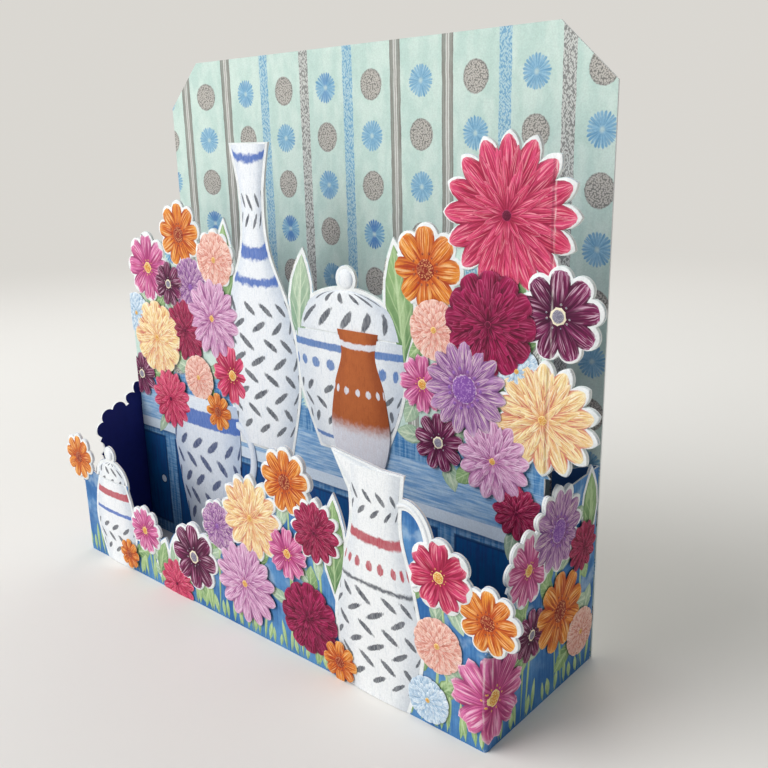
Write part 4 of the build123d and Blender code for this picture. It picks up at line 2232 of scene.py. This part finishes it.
MIDDLE_FLOWERS = (
    Flower(Kind.ROSE_COSMOS, -62.5, 87, 9.5, 8, 1),
    Flower(Kind.ORANGE_DAISIES, -46, 97.5, 8.6, 9, 0),
    Flower(Kind.BLUSH_POMPONS, -30.5, 91.5, 7.4, 10, 2),
    Flower(Kind.PLUM_DAISIES, -52.5, 83, 6.5, 9, 3, cut=False),
    Flower(Kind.LILAC_POMPONS, -42, 83, 8.5, 12, 1, cut=False),
    Flower(Kind.MIST_POMPONS, -70.5, 72.5, 6.5, 11, 2, cut=False),
    Flower(Kind.CREAM_PEONIES, -60.5, 66, 11.5, 12, 3, cut=False),
    Flower(Kind.CRIMSON_ASTERS, -46, 70, 9.5, 13, 2, cut=False),
    Flower(Kind.PINK_ASTERS, -33, 75, 11.5, 14, 3, cut=False),
    Flower(Kind.CORAL_COSMOS, -26, 59.5, 8.6, 8, 2, cut=False),
    Flower(Kind.BLUSH_POMPONS, -41.5, 56.5, 6.8, 11, 3, cut=False),
    Flower(Kind.PLUM_DAISIES, -71, 53, 7, 9, 2, cut=False),
    Flower(Kind.CORAL_ASTERS, -56, 47.5, 9.5, 14, 4, cut=False),
    Flower(Kind.ORANGE_DAISIES, -33.5, 47.5, 5.8, 8, 4, cut=False),
    Flower(Kind.ORANGE_DAISIES, 43, 94.5, 9.2, 8, 0),
    Flower(Kind.CORAL_ASTERS, 64, 107, 15.4, 16, 1),
    Flower(Kind.PLUM_DAISIES, 76.2, 88, 8.8, 9, 2),
    Flower(Kind.CREAM_ASTERS, 73.5, 66.2, 11.6, 14, 3),
    Flower(Kind.WINE_PEONIES, 60, 84.5, 11.5, 12, 4, cut=False),
    Flower(Kind.BLUSH_POMPONS, 45.5, 81.5, 7.0, 11, 3, cut=False),
    Flower(Kind.LILAC_ASTERS, 54, 69.5, 11, 15, 5, cut=False),
    Flower(Kind.ROSE_COSMOS, 42, 68.5, 7, 8, 2, cut=False),
    Flower(Kind.MIST_POMPONS, 67, 75.5, 5.6, 11, 2, cut=False),
    Flower(Kind.PLUM_DAISIES, 46.5, 55.5, 7.0, 9, 3, cut=False),
    Flower(Kind.PINK_ASTERS, 61.5, 54.5, 9.5, 13, 4, cut=False),
    Flower(Kind.CRIMSON_ASTERS, 67.8, 44, 6.6, 12, 3, cut=False),
)
MIDDLE_LEAVES = (
    Leaf((-29, 70), (-26, 103), 5.0),
    Leaf((1, 70), (4, 97), 4.6),
    Leaf((36.5, 70), (33.5, 101), 5.0),
)
FRONT_FLOWERS = (
    Flower(Kind.ROSE_COSMOS, -43, 15.5, 6.5, 9, 1),
    Flower(Kind.PLUM_DAISIES, -20, 14.5, 9, 8, 2),
    Flower(Kind.LILAC_POMPONS, -8.5, 27, 6.2, 10, 1),
    Flower(Kind.CREAM_ASTERS, 5, 33, 10.5, 13, 2),
    Flower(Kind.ORANGE_DAISIES, 18.5, 46, 7.6, 9, 3),
    Flower(Kind.CRIMSON_ASTERS, 28, 36, 7.4, 12, 4),
    Flower(Kind.CORAL_COSMOS, 63.5, 36.5, 7.4, 7, 2),
    Flower(Kind.PINK_ASTERS, 1.5, 14, 11.5, 14, 3, cut=False),
    Flower(Kind.ROSE_COSMOS, 18, 27.5, 6.8, 8, 3, cut=False),
    Flower(Kind.WINE_PEONIES, 24.5, 12.5, 9.6, 12, 2, cut=False),
    Flower(Kind.ROSE_COSMOS, 77, 12.5, 10.5, 8, 2, cut=False),
    Flower(Kind.BLUSH_POMPONS, 63, 20.5, 6.5, 11, 1, cut=False),
    Flower(Kind.MIST_POMPONS, 60.5, 6.5, 5.6, 11, 2, cut=False),
    Flower(Kind.ORANGE_DAISIES, 34.5, 5.0, 5.4, 8, 4, cut=False),
    Flower(Kind.CORAL_ASTERS, -29, 3.5, 7.5, 13, 1, cut=False),
    Flower(Kind.ORANGE_DAISIES, -52, 5.5, 4.8, 8, 4, cut=False),
)
FRONT_LEAVES = (
    Leaf((-38, 2), (-33.5, 16), 3.4),
    Leaf((-30, 2), (-28.5, 19), 3.6),
    Leaf((33, 20), (33.5, 47), 4.2),
)
FRONT_BLADES = 74
CORNER_FLOWERS = tuple(Flower(Kind.ORANGE_DAISIES, across, 30.6, 6.6, 9, 1) for across in (-75.5, 75.5))

# Places on the side walls are measured back from the front face
WALL_FLOWERS = (
    Flower(Kind.ROSE_COSMOS, 14.5, 36, 7.6, 9, 2),
    Flower(Kind.LILAC_ASTERS, 26, 40.8, 9.2, 12, 3),
    Flower(Kind.ORANGE_DAISIES, 28.0, 20.5, 9.8, 9, 2, cut=False),
    Flower(Kind.PLUM_DAISIES, 16.5, 20.0, 6.2, 9, 1, cut=False),
    Flower(Kind.CRIMSON_ASTERS, 37.0, 33, 6.2, 12, 4, cut=False),
    Flower(Kind.BLUSH_POMPONS, 37.5, 11.0, 6.0, 11, 3, cut=False),
)
WALL_LEAVES = (Leaf((40, 31), (40.6, 51), 4.0),)
WALL_GRASS = (3.0, 42.0)
WALL_BLADES = 12


@dataclass(frozen=True)
class Card:
    """The whole card: three printed sheets and the motifs that are embossed on them."""

    sizes: CardSizes
    nodes: dict[str, bpy.types.Object]

    def build(self) -> None:
        """Dresses the sheets and makes their motifs."""
        back = Sheet(self.nodes["back_panel"], FlatPanel(self.sizes.back_face))
        back.dress(WallpaperPrint("wallpaper_print", self.sizes))
        self.build_middle()
        self.build_front()

    def build_middle(self) -> None:
        """Dresses the middle layer with flowers, vase, tureen and pots."""
        sizes = self.sizes
        left_edge = sizes.fold_radius - sizes.wall_inside
        sheet = Sheet(self.nodes["middle_layer"], FlatPanel(sizes.middle_face, sizes.wall_inside, left_edge))
        slot = "garden_board"
        sheet.dress(GardenPrint("garden_print", sizes))
        self.build_vessels("middle", slot, sheet, MIDDLE_VESSELS)
        FlowerBed("middle", slot, sheet, MIDDLE_FLOWERS, MIDDLE_LEAVES, seed=11).build()

    def build_front(self) -> None:
        """Dresses the front layer with flowers on its panel, its corners and its walls."""
        sizes = self.sizes
        node = self.nodes["front_layer"]
        wrap = WrappedPanel(sizes.front_face, sizes.half_width, sizes.fold_radius)
        strip = Sheet(node, wrap)
        flags = Sheet(node, FlatPanel(sizes.front_face))
        slot = "border_board"
        strip.dress(BorderPrint("border_print", sizes))
        self.build_vessels("front", slot, strip, FRONT_VESSELS)
        grass = (-sizes.half_width, sizes.half_width, FRONT_BLADES)
        FlowerBed("front", slot, strip, FRONT_FLOWERS, FRONT_LEAVES, grass=grass, seed=21).build()
        FlowerBed("corner", slot, flags, CORNER_FLOWERS, sprays=0, seed=31).build()
        for name, side, seed in (("right_wall", 1, 41), ("left_wall", -1, 51)):
            flowers = tuple(
                replace(flower, across=side * wrap.along_wall(flower.across)) for flower in WALL_FLOWERS
            )
            leaves = tuple(self.on_wall(leaf, wrap, side) for leaf in WALL_LEAVES)
            grass = (*[side * wrap.along_wall(deep) for deep in WALL_GRASS], WALL_BLADES)
            FlowerBed(name, slot, strip, flowers, leaves, grass=grass, seed=seed).build()

    def on_wall(self, leaf: Leaf, wrap: WrappedPanel, side: int) -> Leaf:
        """A leaf that is measured from the front face, on a side wall."""
        foot, tip = [(side * wrap.along_wall(deep), up) for deep, up in (leaf.foot, leaf.tip)]
        return replace(leaf, foot=foot, tip=tip)

    def build_vessels(self, layer: str, slot: str, sheet: Sheet, vessels: Sequence[Vessel]) -> None:
        """Makes a layer's jars and their white borders.

        Args:
            layer: The layer's name.
            slot: The record's material slot.
            sheet: The sheet that they are printed on.
            vessels: The jars.
        """
        borders = Pile(f"{layer}_jar_borders", slot, BORDER_INK)
        for vessel in vessels:
            vessel.build(slot, sheet, borders)
        borders.close()


@dataclass(frozen=True)
class Lamp:
    """Square soft light, in metres and watts."""

    name: str
    place: Place
    size: float
    watts: float
    tint: str

    def hang(self, aim: Place) -> None:
        """Hangs the lamp so that it looks at a place.

        Args:
            aim: The place.
        """
        data = bpy.data.lights.new(self.name, "AREA")
        data.size = self.size
        data.energy = self.watts
        data.color = paint_colour(self.tint)
        lamp = bpy.data.objects.new(self.name, data)
        lamp.location = self.place
        lamp.rotation_mode = "QUATERNION"
        lamp.rotation_quaternion = (Vector(aim) - Vector(self.place)).to_track_quat("-Z", "Y")
        bpy.context.scene.collection.objects.link(lamp)


@dataclass(frozen=True)
class Studio:
    """Pale floor that sweeps up all round, soft light from the upper left, and the camera, in metres."""

    floor_radius: float = 1.2
    floor_tint: str = "e9e6e0"
    floor_rough: float = 0.9
    floor_glow: float = 0.86
    glow_between: Span = (0.28, 0.8)
    floor_steps: int = 96
    floor_merge: float = 1e-6
    sweep_radius: float = 1.4
    sweep_angle: float = 80.0
    sweep_steps: int = 16
    lamps: tuple[Lamp, ...] = (
        Lamp("window", (-0.9, -1.0, 1.1), 1.5, 34.0, "fbfcff"),
        Lamp("fill", (0.7, -0.35, 0.5), 0.8, 0.15, "f2f6ff"),
        Lamp("rear", (-0.35, 1.25, 1.0), 1.5, 11.0, "fdfbf6"),
    )
    lamp_aim: Place = (0, 0, 0.06)
    sky_tint: str = "e9f0f6"
    sky_strength: float = 0.24
    camera_place: Place = (0.1600, -0.1476, 0.1218)
    camera_yaw: float = -41.46
    camera_pitch: float = 15.77
    camera_roll: float = 1.35
    camera_lens: float = 40.5
    camera_nearest: float = 0.01
    sensor: float = 36.0

    def build(self) -> None:
        """Makes the floor, the lights and the camera."""
        self.build_floor()
        self.build_lights()
        self.build_camera()

    def build_floor(self) -> None:
        """Spins a floor with a rising edge."""
        shape = bmesh.new()
        verts = [shape.verts.new((0, 0, 0)), shape.verts.new((self.floor_radius, 0, 0))]
        shape.edges.new(verts)
        bmesh.ops.spin(
            shape,
            geom=[verts[1]],
            cent=(self.floor_radius, 0, self.sweep_radius),
            axis=(0, -1, 0),
            angle=math.radians(self.sweep_angle),
            steps=self.sweep_steps,
        )
        bmesh.ops.spin(
            shape,
            geom=[*shape.verts, *shape.edges],
            cent=(0, 0, 0),
            axis=(0, 0, 1),
            angle=TAU,
            steps=self.floor_steps,
            use_merge=True,
        )
        bmesh.ops.remove_doubles(shape, verts=shape.verts[:], dist=self.floor_merge)
        bmesh.ops.recalc_face_normals(shape, faces=shape.faces[:])
        data = bpy.data.meshes.new("floor")
        shape.to_mesh(data)
        shape.free()
        for face in data.polygons:
            face.use_smooth = True
        data.materials.append(self.floor_material())
        floor = bpy.data.objects.new("floor", data)
        bpy.context.scene.collection.objects.link(floor)
        LOG.info("floor: %d faces", len(data.polygons))

    def floor_material(self) -> bpy.types.Material:
        """Pale matt floor that keeps shadows near the card and stays as pale far from it.

        Returns:
            The finished material.
        """
        paint = Paint("pale_floor")
        paint.feed(paint.shader.inputs["Base Color"], self.floor_tint)
        paint.feed(paint.shader.inputs["Roughness"], self.floor_rough)
        across, deep, _ = paint.point()
        away = across.reach(deep) * MM
        rays = paint.node("ShaderNodeLightPath").socket.node.outputs
        ways = ("Camera", "Glossy", "Transmission")
        straight, glossy, through = [Tone(paint, rays[f"Is {way} Ray"]) for way in ways]
        share = straight.either(glossy).either(through) * away.ease(*self.glow_between)
        glow = paint.node("ShaderNodeEmission", {}, {"Color": self.floor_tint, "Strength": self.floor_glow})
        plain = Tone(paint, paint.shader.outputs[0])
        mixed = paint.node("ShaderNodeMixShader", {}, {0: share, 1: plain, 2: glow})
        paint.feed(paint.tree.nodes["Material Output"].inputs["Surface"], mixed)
        return paint.material

    def build_lights(self) -> None:
        """Hangs the lamps and sets a pale sky."""
        for lamp in self.lamps:
            lamp.hang(self.lamp_aim)
        world = bpy.data.worlds.new("pale_room")
        world.use_nodes = True
        bpy.context.scene.world = world
        sky = world.node_tree.nodes["Background"]
        sky.inputs["Color"].default_value = (*paint_colour(self.sky_tint), 1.0)
        sky.inputs["Strength"].default_value = self.sky_strength

    def build_camera(self) -> None:
        """Sets the camera at the card's viewing angle."""
        turns = (self.camera_yaw, self.camera_pitch, self.camera_roll)
        yaw, pitch, roll = [math.radians(turn) for turn in turns]
        forward = Vector((math.sin(yaw) * math.cos(pitch), math.cos(yaw) * math.cos(pitch), -math.sin(pitch)))
        right = Vector((math.cos(yaw), -math.sin(yaw), 0))
        down = forward.cross(right)
        across = right * math.cos(roll) + down * math.sin(roll)
        below = down * math.cos(roll) - right * math.sin(roll)
        data = bpy.data.cameras.new("camera")
        data.lens = self.camera_lens
        data.sensor_width = self.sensor
        data.clip_start = self.camera_nearest
        camera = bpy.data.objects.new("camera", data)
        turn = Matrix((across, -below, -forward)).transposed().to_4x4()
        camera.matrix_world = Matrix.Translation(self.camera_place) @ turn
        bpy.context.scene.collection.objects.link(camera)
        bpy.context.scene.camera = camera


def main() -> None:
    """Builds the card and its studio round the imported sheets."""
    logging.basicConfig(level=logging.INFO, format="%(name)s %(message)s")
    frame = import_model()
    bpy.context.scene.view_settings.view_transform = "Standard"
    Card(CardSizes.from_frame(), frame["nodes"]).build()
    Studio().build()


if __name__ == "__main__":
    main()
